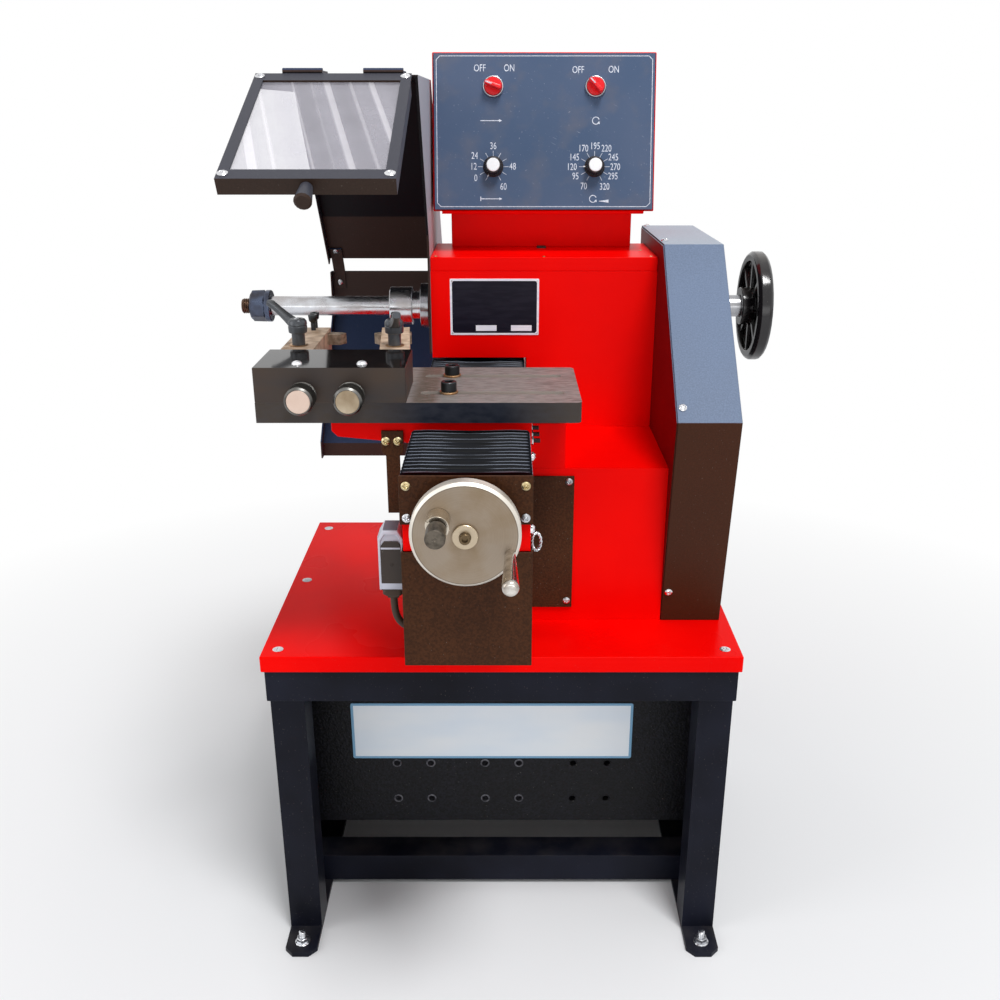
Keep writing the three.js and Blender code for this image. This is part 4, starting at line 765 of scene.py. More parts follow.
turned_rings, given, result = effect(
    "turned_rings", {"X": 0.0, "Y": 0.0, "Z": 0.0, "Pitch": 0.0006, "Lift": 0.000002},
    {"Tone": "Float", "Normal": "Vector", "Radius": "Float"},
)
parts = split()
squares = [
    calc("POWER", calc("ABSOLUTE", calc("SUBTRACT", parts[k], given[k])), 2.0) for k in ("X", "Y", "Z")
]
total = calc("ADD", calc("ADD", squares[0], squares[1]), squares[2])
ring_radius = calc("SQRT", total)
wire(result["Radius"], ring_radius)
turns = calc("DIVIDE", ring_radius, given["Pitch"])
lines = lined(turns, 1.0, 3.0)
wire(result["Tone"], spread(lines, 0.3, 0.7))
wire(result["Normal"], raised(times(lines, given["Lift"])))


def brushed(name, centre, tone, dark_tone, stain_tone, roughness, stains=0.5, highlight_rim=None, **plain):
    """Steel turned about a point: ring marks in tone and height, with a cloudy stain over them. highlight_rim
    is a radius from which the steel is painted bright as a painted highlight, with a thin painted shadow line
    inside it."""
    material = finish(name, Metallic=1.0, **plain)
    rings = use(turned_rings, X=centre[0], Y=centre[1], Z=centre[2])
    steel = mixed(rings["Tone"], tone, dark_tone)
    cloud = spread(grain(place(), 0.03, 6.0), 0.4, 0.75)
    steel = mixed(times(cloud, stains), steel, stain_tone)
    # A painted highlight on the chamfer from the rim outwards, and a painted shadow line just inside it.
    if highlight_rim:
        line = times(spread(rings["Radius"], highlight_rim - 0.0009, highlight_rim - 0.0006), 0.45)
        steel = mixed(line, steel, (70, 62, 54))
        steel = mixed(spread(rings["Radius"], highlight_rim - 0.0002, highlight_rim + 0.0002), steel, (226, 220, 210))
    coat(Base_Color=steel)
    coat(Roughness=spread(cloud, 0, 1, roughness, roughness + 0.15))
    coat(Normal=rings["Normal"])
    return material


dial_low, dial_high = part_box("feed_dial")
screw_x, screw_z = (dial_low.x + dial_high.x) / 2, (dial_low.z + dial_high.z) / 2
dial_radius = (dial_high.x - dial_low.x) / 2
dial_back = dial_high.y
dial_depth, dial_bevel, dial_bore = 0.014, 0.0028, 0.0064
dial_face = dial_back - dial_depth
dial_steel = brushed(
    "dial_steel", (screw_x, dial_face, screw_z), (154, 141, 126), (146, 133, 118), (134, 112, 82), 0.46,
    0.6, dial_radius - dial_bevel,
)
face_tone, face_roughness = reopened(dial_steel)
ahead = spread(split(place())["Y"], dial_face - 0.0005, dial_face - 0.0012)
coat(Base_Color=mixed(ahead, face_tone, (206, 196, 180)))
coat(Roughness=spread(ahead, 0, 1, face_roughness, 0.26))


def along_y(y_back):
    """The placement of a piece turned about the screw's line, whose local Z runs towards the operator."""
    return facing((screw_x, y_back, screw_z), to_front)


dial_shape = lathe(
    [
        (0, dial_bore), (0, dial_radius - 0.0006), (0.0006, dial_radius),
        (dial_depth - dial_bevel, dial_radius), (dial_depth - 0.0009, dial_radius - 0.0016),
        (dial_depth, dial_radius - dial_bevel),
        *[(dial_depth, dial_radius * share) for share in (0.8, 0.6, 0.4, 0.25)], (dial_depth, dial_bore),
        (0, dial_bore),
    ],
    160,
)
plunger_x, plunger_z = screw_x - 0.023, screw_z + 0.016
collar_radius, collar_bore, collar_length, collar_notch = 0.0105, 0.0044, 0.022, 0.006
collar_angle = np.linspace(0, 2 * np.pi, 72, endpoint=False)
collar_drop = collar_notch * np.clip(-3 * np.cos(collar_angle - 0.9), 0, 1)
collar_rows = [
    (0.0, collar_radius), (collar_length, collar_radius), (collar_length, collar_bore), (0.0, collar_bore)
]
collar_points = np.stack(
    [
        np.stack(
            [
                r * np.cos(collar_angle), r * np.sin(collar_angle),
                a - (collar_drop if a else 0) + 0 * collar_angle,
            ],
            -1,
        )
        for a, r in collar_rows
    ]
).reshape(-1, 3)
collar_shape = (collar_points, grid_faces(4, 72, wrap_rows=True, wrap_columns=True))
crank_low, crank_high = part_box("crank_handle")
crank_x, crank_z = (crank_low.x + crank_high.x) / 2, (crank_low.z + crank_high.z) / 2
pin_end, crank_pin_radius = -0.3985, 0.0025
pin_shape = lathe(
    [
        (0, 0), (0, crank_pin_radius), (dial_face - pin_end - 0.001, crank_pin_radius),
        (dial_face - pin_end, 0.002), (dial_face - pin_end, 0),
    ],
    24,
)
pin_place = facing((crank_x, dial_face, crank_z), to_front)
collar_place = facing((plunger_x, dial_face + 0.001, plunger_z), to_front)
build(
    "dial_disc",
    [moved(dial_shape, along_y(dial_back)), moved(collar_shape, collar_place), moved(pin_shape, pin_place)],
    dial_steel, "feed_screw_assembly", "feed_dial", edge=0.0003,
)

ground_steel = brushed(
    "ground_steel", (screw_x, 0, screw_z), (206, 205, 204), (172, 170, 168), (150, 120, 90), 0.24, 0.35
)
steel, _ = reopened(ground_steel)
nose_spot = split(place(centre=(screw_x, 0, screw_z)))
nose_radius = calc(
    "SQRT", calc("ADD", calc("POWER", nose_spot["X"], 2.0), calc("POWER", nose_spot["Z"], 2.0))
)
nose = spread(nose_spot["Y"], -0.3400, -0.3404)
steel = mixed(nose, steel, (188, 172, 148))
screw_end = times(nose, spread(nose_radius, 0.0056, 0.0052))
coat(Base_Color=mixed(screw_end, steel, (104, 88, 66)))
thread_end, thread_start = 0.1895, -0.2815
# From the rear end: journal, thread, collar, journal, hub, the dial's seat, washer and socket screw.
screw_profile = [
    (-0.2075, 0), (-0.2075, 0.006), (-0.1945, 0.006), (-0.1895, 0.0076),
    *threaded_run(-thread_end, -thread_start, 0.008, 0.005, 5), (0.2865, 0.008), (0.2865, 0.0146),
    (0.2965, 0.0146), (0.2965, 0.007), (0.3138, 0.007), (0.3138, 0.014), (0.3282, 0.014), (0.3282, 0.006),
    (0.3428, 0.006), (0.3428, 0.0112), (0.3431, 0.0115), (0.3452, 0.0115), (0.3458, 0.0109),
    (0.3458, 0.005), (0.3503, 0.005), (0.3508, 0.0045), (0.3508, 0.0026), (0.3478, 0.0026), (0.3478, 0),
]
build(
    "threaded_feed_screw",
    moved(lathe(screw_profile, 40, thread(-thread_end, -thread_start, 0.005, 0.2)), along_y(0)),
    ground_steel, "feed_screw_assembly", "feed_screw", edge=0.0002,
)


# Crank handle and plunger: the handle is a chromed taper that spins on its pin, and the plunger a knurled
# black cap with a bright middle that is pulled out to free the dial.
chrome = metal("chrome", (236, 236, 238), (205, 206, 210), 0.09, blotch=0.05)
handle_chrome = metal("handle_chrome", (226, 222, 216), (168, 158, 148), 0.13, blotch=0.008)
handle_length = crank_high.y - crank_low.y
handle_root, handle_tip = 0.005, (crank_high.x - crank_low.x) / 2
handle_bore, handle_bore_depth = 0.0027, 0.057
dome_angle = np.linspace(0, np.pi / 2, 9)
handle_profile = [
    (handle_bore_depth, 0), (handle_bore_depth, handle_bore), (0, handle_bore), (0, handle_root * 0.9),
    (0.0006, handle_root), (0.004, handle_root), (handle_length - 0.0075, handle_tip),
    *[
        (handle_length - 0.004 + 0.004 * math.sin(a), handle_tip - 0.0035 + 0.0035 * math.cos(a))
        for a in dome_angle
    ],
    (handle_length, 0),
]
build(
    "chromed_crank_handle",
    moved(lathe(handle_profile, 64), facing((crank_x, crank_high.y, crank_z), to_front)), handle_chrome,
    "crank_handle", "crank_handle",
)

black_oxide = metal("black_oxide", (66, 64, 64), (44, 42, 42), 0.36, 0.85)
plunger_steel = metal("plunger_steel", (104, 96, 86), (66, 60, 52), 0.3, 0.8, 0.006)
cap_low, cap_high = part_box("feed_plunger")
cap_length = cap_high.y - cap_low.y
cap_radius = (cap_high.x - cap_low.x) / 2
pin_radius = 0.004
cap_front = cap_length - 0.0215


def straight_knurl(count, depth, start, end):
    """Fine grooves along the axis between two places: the radius drops by depth |sin(count angle)|."""
    return lambda along, angle: np.where(
        (along > start) & (along < end), 1 - depth * np.abs(np.sin(count * angle)), 1.0
    )


cap_profile = [
    (0, 0), (0, pin_radius), (cap_front, pin_radius), (cap_front, cap_radius - 0.0006),
    (cap_front + 0.0006, cap_radius), (cap_length - 0.0015, cap_radius),
    (cap_length - 0.0006, cap_radius - 0.0006), (cap_length - 0.0006, 0.0026),
    (cap_length - 0.0002, 0.0024), (cap_length - 0.0002, 0.0015), (cap_length - 0.0008, 0.0013),
    (cap_length - 0.0008, 0),
]
build(
    "plunger_cap", moved(lathe(cap_profile, 96), facing((plunger_x, cap_high.y, plunger_z), to_front)),
    plunger_steel, "feed_plunger", "feed_plunger", edge=0.0003,
)


# Cross slide: a red iron casting over the ways, with gib screws and their lock nuts at its right end. The
# trip strap is a black sheet tongue screwed to its front, which works the limit switch at the travel's end.
dress("cross_slide", red_cast, 0.001)
dress("trip_strap", brown_wrinkle, 0.0005)
strap_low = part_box("trip_strap")[0]
strap_screw_places = [((x, strap_low.y, 0.6795), to_front) for x in (-0.1155, -0.1035)]
heads("trip_strap_screws", strap_screw_places, 0.0044, 0.0028, yellow_zinc, "slide_assembly")

slide_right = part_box("cross_slide")[1].x
gib_screw_rows = (-0.1295, -0.1065, -0.0825)
gib_screw_height = 0.665
gib_nut_thickness, gib_nut_radius = 0.0032, 0.0042
gib_nut = lathe(
    [
        (0, 0), (0, gib_nut_radius), (gib_nut_thickness - 0.0004, gib_nut_radius),
        (gib_nut_thickness, gib_nut_radius * 0.88), (gib_nut_thickness, 0),
    ],
    48, lambda along, angle: np.where(along < gib_nut_thickness, hexagon(angle), 1.0),
)
gib_screw = lathe(
    [
        (0.0032, 0), *threaded_run(0.0032, 0.0095, 0.0026, 0.001), (0.0100, 0.0022), (0.0100, 0.0013),
        (0.0075, 0.0013), (0.0075, 0),
    ],
    32, thread(0.0032, 0.0095, 0.001, 0.12),
)
for gib_name, gib_shape, gib_metal in (
    ("gib_nuts", gib_nut, white_zinc), ("gib_screws", gib_screw, black_oxide)
):
    gib_row = [
        moved(gib_shape, facing((slide_right, y, gib_screw_height), (1, 0, 0))) for y in gib_screw_rows
    ]
    build(gib_name, gib_row, gib_metal, "slide_assembly", edge=0.0002)


# Side screws: bright domed screws, one in the slide's right side and one in the bed's. The bed's holds a
# short loop of twisted steel wire that hangs down.
bed_side, bed_screw_y, bed_screw_z = 0.027, -0.3035, 0.636
heads("bed_side_screw", [((bed_side, bed_screw_y, bed_screw_z), (1, 0, 0))], 0.0050, 0.0045, chrome)
heads(
    "slide_side_screw", [((slide_right, -0.168, 0.660), (1, 0, 0))], 0.0050, 0.0045, chrome,
    "slide_assembly",
)


# Limit switch: a light grey moulded shell with a dark cover let into its front, a sprung pin on its right
# that the trip strap presses, and a black rubber boot below, out of which its lead runs into the bed cover.
def slab(outline, levels):
    """An upright-sided block over a convex outline. At each level (shrink, height) its outline is drawn
    towards its middle by the share shrink; the first and last levels close in the middle."""
    outline = np.array(outline, float)
    middle = outline.mean(0)
    shrink, height = np.array([(1.0, levels[0][1]), *levels, (1.0, levels[-1][1])]).T
    flat = middle + (outline - middle) * (1 - shrink)[:, None, None]
    points = np.concatenate([flat, np.ones((*flat.shape[:2], 1)) * height[:, None, None]], -1)
    return points.reshape(-1, 3), grid_faces(len(height), len(outline), wrap_columns=True)


def swept(path, half_wide, half_high, up=(0, 0, 1), sides=16, power=1.0):
    """A bar or tube along a path. Its section at a point is (wide cos, high sin) with each factor's size
    raised to a power below 1 for a squarer bar; both ends close in their middle."""
    path = np.array(path, float)
    count = len(path)
    wide = np.broadcast_to(half_wide, count).astype(float)
    high = np.broadcast_to(half_high, count).astype(float)
    way = np.gradient(path, axis=0)
    way /= np.linalg.norm(way, axis=1, keepdims=True)
    across = np.cross(way, np.array(up, float))
    across /= np.linalg.norm(across, axis=1, keepdims=True)
    over = np.cross(across, way)
    ends = [0, *range(count), count - 1]
    closed = np.array([0.0, *np.ones(count), 0.0])
    angle = np.linspace(0, 2 * np.pi, sides, endpoint=False)
    squared = [np.sign(wave) * np.abs(wave) ** power for wave in (np.cos(angle), np.sin(angle))]
    points = path[ends][:, None, :]
    for half, wave, axis in zip((wide, high), squared, (across, over)):
        points = points + (half[ends] * closed)[:, None, None] * wave[None, :, None] * axis[ends][:, None, :]
    return points.reshape(-1, 3), grid_faces(len(ends), sides, wrap_columns=True)


def moulded(name, tone, light_tone, roughness, cell=0.0012, lift=0.00002, dust=0.2):
    """Moulded plastic or rubber: an even tone with a fine matt skin and a trace of dust."""
    return sprayed(
        name, tone, light_tone, roughness, cell=cell, lift=lift, dust=dust, Specular_IOR_Level=0.4
    )


shell_grey = moulded("shell_grey", (204, 206, 218), (182, 184, 198), 0.4)
cover_black = moulded("cover_black", (40, 31, 26), (52, 40, 32), 0.4, dust=0.1)
shell_tone, _ = reopened(shell_grey)
# The shell's faces that look up are painted darker, as painted shade.
shell_up = split("Normal")["Z"]
shell_tone = mixed(spread(shell_up, 0.9, 0.98), shell_tone, (104, 102, 112))
coat(Base_Color=shell_tone)
boot_rubber = moulded("boot_rubber", (56, 42, 32), (66, 50, 38), 0.6)
switch_low, switch_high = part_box("limit_switch")
switch_x, switch_y = (switch_low.x + switch_high.x) / 2, (switch_low.y + switch_high.y) / 2
switch_half = (switch_high.x - switch_low.x) / 2
shell_foot = 0.567
shell_half = (switch_high.z - shell_foot) / 2
shell_depth = switch_high.y - switch_low.y
shell_cut = 0.005
shell_outline = [
    (-switch_half, -shell_half), (switch_half, -shell_half), (switch_half, shell_half - shell_cut * 1.6),
    (switch_half - shell_cut, shell_half), (-switch_half + shell_cut, shell_half),
    (-switch_half, shell_half - shell_cut * 1.6),
]
shell_levels = [
    (0, 0), (0, shell_depth - 0.003), (0.05, shell_depth), (0.2, shell_depth), (0.24, shell_depth - 0.002)
]
shell_place = facing((switch_x, switch_high.y, shell_foot + shell_half), to_front)
build(
    "limit_switch_shell", moved(slab(shell_outline, shell_levels), shell_place), shell_grey,
    stands_for="limit_switch", edge=0.0006,
)

cover_top, cover_foot = shell_half * 0.62, -shell_half + 0.0006
cover_outline = [
    (-switch_half * 0.84, cover_foot), (switch_half * 0.90, cover_foot),
    (switch_half * 0.90, cover_top - 0.006), (switch_half * 0.55, cover_top),
    (-switch_half * 0.50, cover_top), (-switch_half * 0.84, cover_top - 0.006),
]
cover_levels = [(0, shell_depth - 0.0022), (0, shell_depth - 0.0008), (0.05, shell_depth - 0.0003)]
cover_screw = moved(cross_head(0.0022, 0.0008), (0, -0.004, shell_depth - 0.0006))
build(
    "limit_switch_cover", moved(together([slab(cover_outline, cover_levels), cover_screw]), shell_place),
    cover_black, edge=0.0003,
)
seal_shape = plate_shape(switch_half * 0.76, 0.0009, 0.0004, [(0, 0), (0, 0.0004), (0.0002, 0.0006)])
seal_height, seal_seat = 0.6105, 0.0005
seal_place = facing((switch_x, switch_low.y + seal_seat, seal_height), to_front)
build("limit_switch_seal", moved(seal_shape, seal_place), shell_grey)

boot_drop = shell_foot - switch_low.z
boot_levels = [
    (0.0004, -0.001), (0, 0), (0, boot_drop * 0.55), (0.0016, boot_drop * 0.6), (0.0022, boot_drop * 0.72),
    (0.0042, boot_drop * 0.76), (0.0046, boot_drop),
]
boot_shape = plate_shape(switch_half * 0.82, shell_depth * 0.36, 0.0045, boot_levels)
boot_place = facing((switch_x, switch_y, shell_foot), (0, 0, -1), (0, 1, 0))
build("limit_switch_boot", moved(boot_shape, boot_place), boot_rubber, edge=0.0004)
dress("limit_switch_plunger", white_zinc, 0.0005)

# The lead hangs from the boot and turns into the bed cover: a cubic curve between four points.
lead_points = np.array(
    [(-0.102, -0.277, 0.5565), (-0.102, -0.277, 0.540), (-0.101, -0.277, 0.529), (-0.0895, -0.277, 0.5233)]
)
lead_share = np.linspace(0, 1, 24)[:, None]
lead_path = (
    lead_points[0] * (1 - lead_share) ** 3
    + lead_points[1] * 3 * lead_share * (1 - lead_share) ** 2
    + lead_points[2] * 3 * lead_share**2 * (1 - lead_share)
    + lead_points[3] * lead_share**3
)
build(
    "switch_lead", swept(lead_path, 0.0035, 0.0035, (0, 1, 0), 20), boot_rubber,
    stands_for="limit_switch_cable",
)


# Wire loop: bright steel wire that hangs on the bed's side screw. Two strands are wound round each other
# along an upright oval.
loop_turn = np.linspace(0, 2 * np.pi, 49)
loop_wide, loop_tall, wire_radius, strand_reach = 0.0040, 0.0085, 0.0008, 0.0008
loop_x, loop_z = bed_side + 0.0055, bed_screw_z - 0.0125
strands = []
for phase in (0.0, np.pi):
    twist = loop_turn * 7 + phase
    path_x = loop_x + (loop_wide + strand_reach * np.sin(twist)) * np.sin(loop_turn)
    path_y = bed_screw_y + strand_reach * np.cos(twist)
    path_z = loop_z + (loop_tall + strand_reach * np.sin(twist)) * np.cos(loop_turn)
    strands.append(swept(np.stack([path_x, path_y, path_z], -1), wire_radius, wire_radius, (0, 1, 0), 10))
build("wire_loop", strands, white_zinc)


# Tool plate: a ground steel plate, blackened on its edges and rubbed on top, where the chips and the clamp
# screws have smeared it. Two cap screws with bronze-coloured washers hold it to the slide through its slots.
face_ways, given, result = effect("face_ways", {"Sharpness": 0.6}, {"Up": "Float", "Front": "Float"})
normal_parts = split("Normal")
wire(result["Up"], spread(normal_parts["Z"], given["Sharpness"], 0.95))
toward_front = times(normal_parts["Y"], -1.0)
wire(result["Front"], spread(toward_front, given["Sharpness"], 0.95))

plate_steel = finish("plate_steel", Specular_IOR_Level=0.25)
ways = use(face_ways)
plate_spot = split()
smear_place = place(turn=(0, 0, 0.12), stretch=(2.2, 1, 1))
smear = spread(grain(smear_place, 0.006, 6.0), 0.36, 0.68)
cloud = spread(grain(place(), 0.04, 4.0), 0.38, 0.66)
swirl_middle = place((-0.068, -0.11, 0.72))
swirl = add("TexWave", {"wave_type": "RINGS"}, Vector=swirl_middle, Scale=55.0, Distortion=9.0, Detail=4.0)
top_tone = mixed(smear, (154, 148, 145), (128, 120, 116))
right_end = spread(plate_spot["X"], 0.012, 0.062)
red_stain = times(times(right_end, cloud), smear)
top_tone = mixed(times(red_stain, 0.7), top_tone, (104, 76, 74))
by_block = times(spread(plate_spot["X"], -0.060, -0.068), spread(plate_spot["X"], -0.092, -0.084))
by_block = times(by_block, spread(swirl.outputs[1], 0.1, 0.7, 0.35, 0.95))
top_tone = mixed(by_block, top_tone, (96, 84, 70))
edge_ends = calc("MAXIMUM", spread(plate_spot["X"], -0.075, -0.14), spread(plate_spot["X"], 0.0, 0.07))
edge_tone = mixed(edge_ends, (16, 22, 36), (62, 54, 48))
edge_tone = mixed(times(smear, 0.2), edge_tone, (74, 76, 84))
clamp_screw_rows, slot_reach = (-0.1465, -0.0755), 0.0075
from_slots = [calc("ABSOLUTE", calc("SUBTRACT", plate_spot["Y"], row)) for row in clamp_screw_rows]
in_slot = calc("LESS_THAN", calc("MINIMUM", *from_slots), slot_reach)
edge_tone = mixed(in_slot, edge_tone, (176, 168, 160))
coat(Base_Color=mixed(ways["Up"], edge_tone, top_tone))
coat(Metallic=spread(ways["Up"], 0, 1, 0.2, 0.4))
coat(Roughness=spread(smear, 0, 1, 0.42, 0.6))
coat(Normal=raised(times(smear, 0.00003)))
dress("tool_plate", plate_steel, 0.0009)


def socket_screw(foot, top, shank, head, head_foot, socket, socket_depth):
    """A turned cap screw's profile from its foot to the bottom of its socket."""
    return [
        (foot, 0), (foot, shank - 0.0005), (foot + 0.0005, shank), (head_foot, shank), (head_foot, head),
        (top - 0.0009, head), (top, head - 0.0009), (top, socket * 1.15), (top - 0.0005, socket),
        (top - socket_depth, socket), (top - socket_depth, 0),
    ]


bronze = metal("bronze", (214, 180, 140), (160, 118, 80), 0.35)
clamp_screw_x = -0.053
plate_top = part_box("tool_plate")[1].z
clamp_foot, clamp_top = 0.6913, 0.7333
clamp_head_foot = plate_top + 0.0023
clamp_socket, clamp_socket_depth = 0.0046, 0.005
clamp_shape = lathe(
    socket_screw(clamp_foot, clamp_top, 0.005, 0.008, clamp_head_foot, clamp_socket, clamp_socket_depth),
    96,
    lambda along, angle: np.where(
        (along < clamp_top - 0.0004) & (along > clamp_top - clamp_socket_depth * 1.01)
        & (along > clamp_head_foot + 0.003) & (np.abs(along - (clamp_top - 0.0009)) > 1e-5),
        hexagon(angle) * 0.87, 1.0,
    ),
)
screw_bar = moved(
    plate_shape(0.0105, 0.047, 0.0015, [(0, 0), (0, 0.0094), (0.0006, 0.01)]),
    (clamp_screw_x, -0.111, 0.6863),
)
washer_shape = lathe(
    [
        (0, 0.0055), (0, 0.0092), (0.0003, 0.0095), (0.0017, 0.0095), (0.002, 0.0092), (0.002, 0.0055),
        (0, 0.0055),
    ],
    64,
)
black_screw = metal("black_screw", (62, 64, 66), (40, 40, 42), 0.32, 0.9)
build(
    "plate_cap_screws", [screw_bar, *[moved(clamp_shape, (clamp_screw_x, y, 0)) for y in clamp_screw_rows]],
    black_screw, "slide_assembly", "plate_clamp_screws", edge=0.0003,
)
build(
    "plate_screw_washers",
    [moved(washer_shape, (clamp_screw_x, y, plate_top + 0.0002)) for y in clamp_screw_rows], bronze,
    "slide_assembly", edge=0.0002,
)


# Tool block: a blackened steel block with a polished top, which carries both cutters. Its front is rubbed
# brown, and a hairline shows where it meets the plate. Two bright domed caps close the holes in its top.
block_steel = finish("block_steel", Specular_IOR_Level=0.25)
ways = use(face_ways)
rubbed = spread(grain(place(stretch=(2.5, 1, 1)), 0.03, 5.0), 0.36, 0.68)
front_tone = mixed(rubbed, (54, 50, 50), (66, 53, 44))
polished = mixed(rubbed, (22, 20, 21), (32, 27, 26))
coat(Base_Color=mixed(ways["Up"], front_tone, polished))
coat(Roughness=spread(ways["Up"], 0, 1, 0.42, 0.08))
fine_marks = grain(place(stretch=(12, 1, 1)), 0.0012, 3.0)
coat(Normal=raised(times(fine_marks, 0.000006)))
dress("tool_block", block_steel, 0.0006)

block_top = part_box("tool_block")[1].z
cap_places = [(-0.201, -0.1685), (-0.137, -0.1685)]
cap_dome_radius, cap_dome_height = 0.0052, 0.0034
cap_metal = metal("cap_metal", (244, 244, 246), (210, 210, 214), 0.3, 0.6)
cap_dome = lathe(
    [
        (0, 0), (0, cap_dome_radius),
        *[
            (cap_dome_height * math.sin(a), cap_dome_radius * math.cos(a))
            for a in np.linspace(0.15, 1.45, 8)
        ],
        (cap_dome_height, 0),
    ],
    40,
)
build(
    "block_hole_caps", [moved(cap_dome, (x, y, block_top)) for x, y in cap_places], cap_metal,
    "tool_plate_assembly",
)


# Depth knobs: knurled steel knobs on the block's front that set each cutter's depth. Each has a bright
# chamfer round a pale disc; the right-hand one is stained with oil.
knurled_steel = metal("knurled_steel", (132, 131, 128), (84, 82, 78), 0.28)
knob_height = 0.730
knob_back, knob_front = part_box("depth_knob_left")[1].y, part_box("depth_knob_left")[0].y
knob_length = knob_back - knob_front
grip_start = knob_length - 0.0250
knob_profile = [
    (0, 0), (0, 0.0045), (0.0005, 0.005), (0.0383, 0.005), (0.0383, 0.0105), (0.0388, 0.011),
    (0.0423, 0.011), (grip_start, 0.0136), (grip_start + 0.0008, 0.014), (grip_start + 0.002, 0.014),
    (grip_start + 0.0024, 0.014), (knob_length - 0.0046, 0.014), (knob_length - 0.0042, 0.014),
    (knob_length - 0.002, 0.014), (knob_length, 0.0122), (knob_length, 0.0117),
    (knob_length - 0.001, 0.0116), (knob_length - 0.001, 0),
]
knob_knurl = straight_knurl(40, 0.07, grip_start + 0.0022, knob_length - 0.0044)
knob_shape = lathe(knob_profile, 320, knob_knurl)
face_shape = lathe(
    [
        (knob_length - 0.001, 0), (knob_length - 0.001, 0.0114), (knob_length - 0.0003, 0.0114),
        (knob_length - 0.0001, 0.0112), (knob_length - 0.0001, 0.006), (knob_length - 0.0001, 0),
    ],
    96,
)
for side, knob_x, face_tone, face_stain, stained in (
    ("left", -0.193, (216, 194, 180), (198, 172, 156), 0.35),
    ("right", -0.146, (186, 172, 150), (128, 106, 78), 0.95),
):
    knob_place = facing((knob_x, knob_back, knob_height), to_front)
    body_name = "depth_knob_" + side
    build(
        "knurled_knob_" + side, moved(knob_shape, knob_place), knurled_steel, body_name,
        body_name, edge=0.0002,
    )
    face_steel = brushed(
        "knob_face_" + side, (knob_x, knob_front, knob_height), face_tone, face_tone, face_stain, 0.5,
        stained,
    )
    build("knob_disc_" + side, moved(face_shape, knob_place), face_steel, body_name)


# Cutter arms: two steel bars, browned by handling, with a square cutter gripped in the end of each by two
# cap screws. Each arm is held down on the block by a clamp lever.
arm_steel = metal("arm_steel", (232, 206, 180), (180, 152, 126), 0.5, 0.2, 0.012)
bit_steel = metal("bit_steel", (186, 168, 148), (116, 100, 84), 0.42, 0.7, 0.006)
for side in ("left", "right"):
    dress("tool_arm_" + side, arm_steel, 0.0008)
    dress("tool_bit_" + side, bit_steel, 0.0005)
arm_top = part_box("tool_arm_left")[1].z
bit_screw_foot, bit_screw_top = arm_top - 0.0035, 0.770
bit_screw_profile = [
    (bit_screw_foot, 0), (bit_screw_foot, 0.0028), *threaded_run(arm_top, 0.7615, 0.0029, 0.001),
    (0.7620, 0.0038), (0.7632, 0.0046), (0.7690, 0.0052), (bit_screw_top, 0.0047), (bit_screw_top, 0.0030),
    (bit_screw_top - 0.0004, 0.0026), (0.7665, 0.0026), (0.7665, 0),
]
bit_screw = lathe(bit_screw_profile, 48, thread(arm_top, 0.7615, 0.001, 0.12))
bit_screw_rows = (0.0335, 0.0195)
for side, columns in (("left", (-0.2175, -0.2175)), ("right", (-0.1236, -0.1224))):
    row = [moved(bit_screw, (x, y, 0)) for x, y in zip(columns, bit_screw_rows)]
    build("bit_screws_" + side, row, black_screw, "tool_arm_" + side + "_assembly")


# Clamp levers: cast handles in dark grey enamel on a steel hub, which turn on a stud through the arm. The
# handle rises outwards, tapers, and flares at its end; a bright screw holds it on the hub.
lever_enamel = sprayed(
    "lever_enamel", (66, 70, 77), (88, 91, 95), 0.26, cell=0.0012, lift=0.00005, dust=0.15, Metallic=0.35
)
stud_foot, stud_shoulder, hub_foot, hub_top = 0.7053, 0.7523, 0.766, 0.781
hub_profile = [
    (stud_foot, 0), (stud_foot, 0.0045), (stud_foot + 0.0005, 0.005), (stud_shoulder, 0.005),
    (stud_shoulder, 0.0066), (stud_shoulder + 0.0004, 0.007), (hub_foot - 0.0004, 0.007),
    (hub_foot, 0.0094), (hub_foot + 0.0008, 0.0099), (hub_foot + 0.007, 0.0102),
    (hub_foot + 0.0074, 0.0096), (hub_foot + 0.0080, 0.0096), (hub_foot + 0.0084, 0.0102),
    (hub_top - 0.003, 0.0100), (hub_top - 0.0008, 0.0084), (hub_top, 0.0070), (hub_top, 0.0046),
    (hub_top - 0.001, 0.0044), (hub_top - 0.001, 0),
]
hub_shape = lathe(hub_profile, 64)
lever_path = [
    (0.002, 0, 0.7755), (0.008, 0, 0.7765), (0.014, 0, 0.7790), (0.022, 0, 0.7828),
    (0.030, 0, 0.7866), (0.038, 0, 0.7902), (0.043, 0, 0.7922), (0.046, 0, 0.7930),
]
lever_wide = (0.0072, 0.0066, 0.0052, 0.0043, 0.0038, 0.0039, 0.0044, 0.0040)
lever_high = (0.0045, 0.0044, 0.0042, 0.0039, 0.0037, 0.0036, 0.0036, 0.0032)
lever_bar = swept(lever_path, lever_wide, lever_high, (0, 0, 1), 32, 0.55)
ring_shape = lathe(
    [(0, 0.0052), (0, 0.0098), (0.0005, 0.0103), (0.0008, 0.0098), (0.0008, 0.0052), (0, 0.0052)], 64
)
screw_shape = moved(cross_head(0.0040, 0.0016), (0, 0, hub_top - 0.0008))
for side, pivot_x, pivot_y, heading in (("left", -0.219, -0.0625, 140), ("right", -0.115, -0.0645, -80)):
    turned = Matrix.Translation((pivot_x, pivot_y, 0)) @ Matrix.Rotation(math.radians(heading), 4, "Z")
    lever_name = "clamp_lever_" + side
    build(
        "cast_lever_" + side, moved(together([hub_shape, lever_bar]), turned), lever_enamel,
        lever_name, lever_name, edge=0.0003,
    )
    build("lever_screw_" + side, moved(screw_shape, turned), white_zinc, lever_name)
    build(
        "lever_ring_" + side, moved(ring_shape, turned @ Matrix.Translation((0, 0, arm_top + 0.0001))),
        bronze, "tool_arm_" + side + "_assembly",
    )


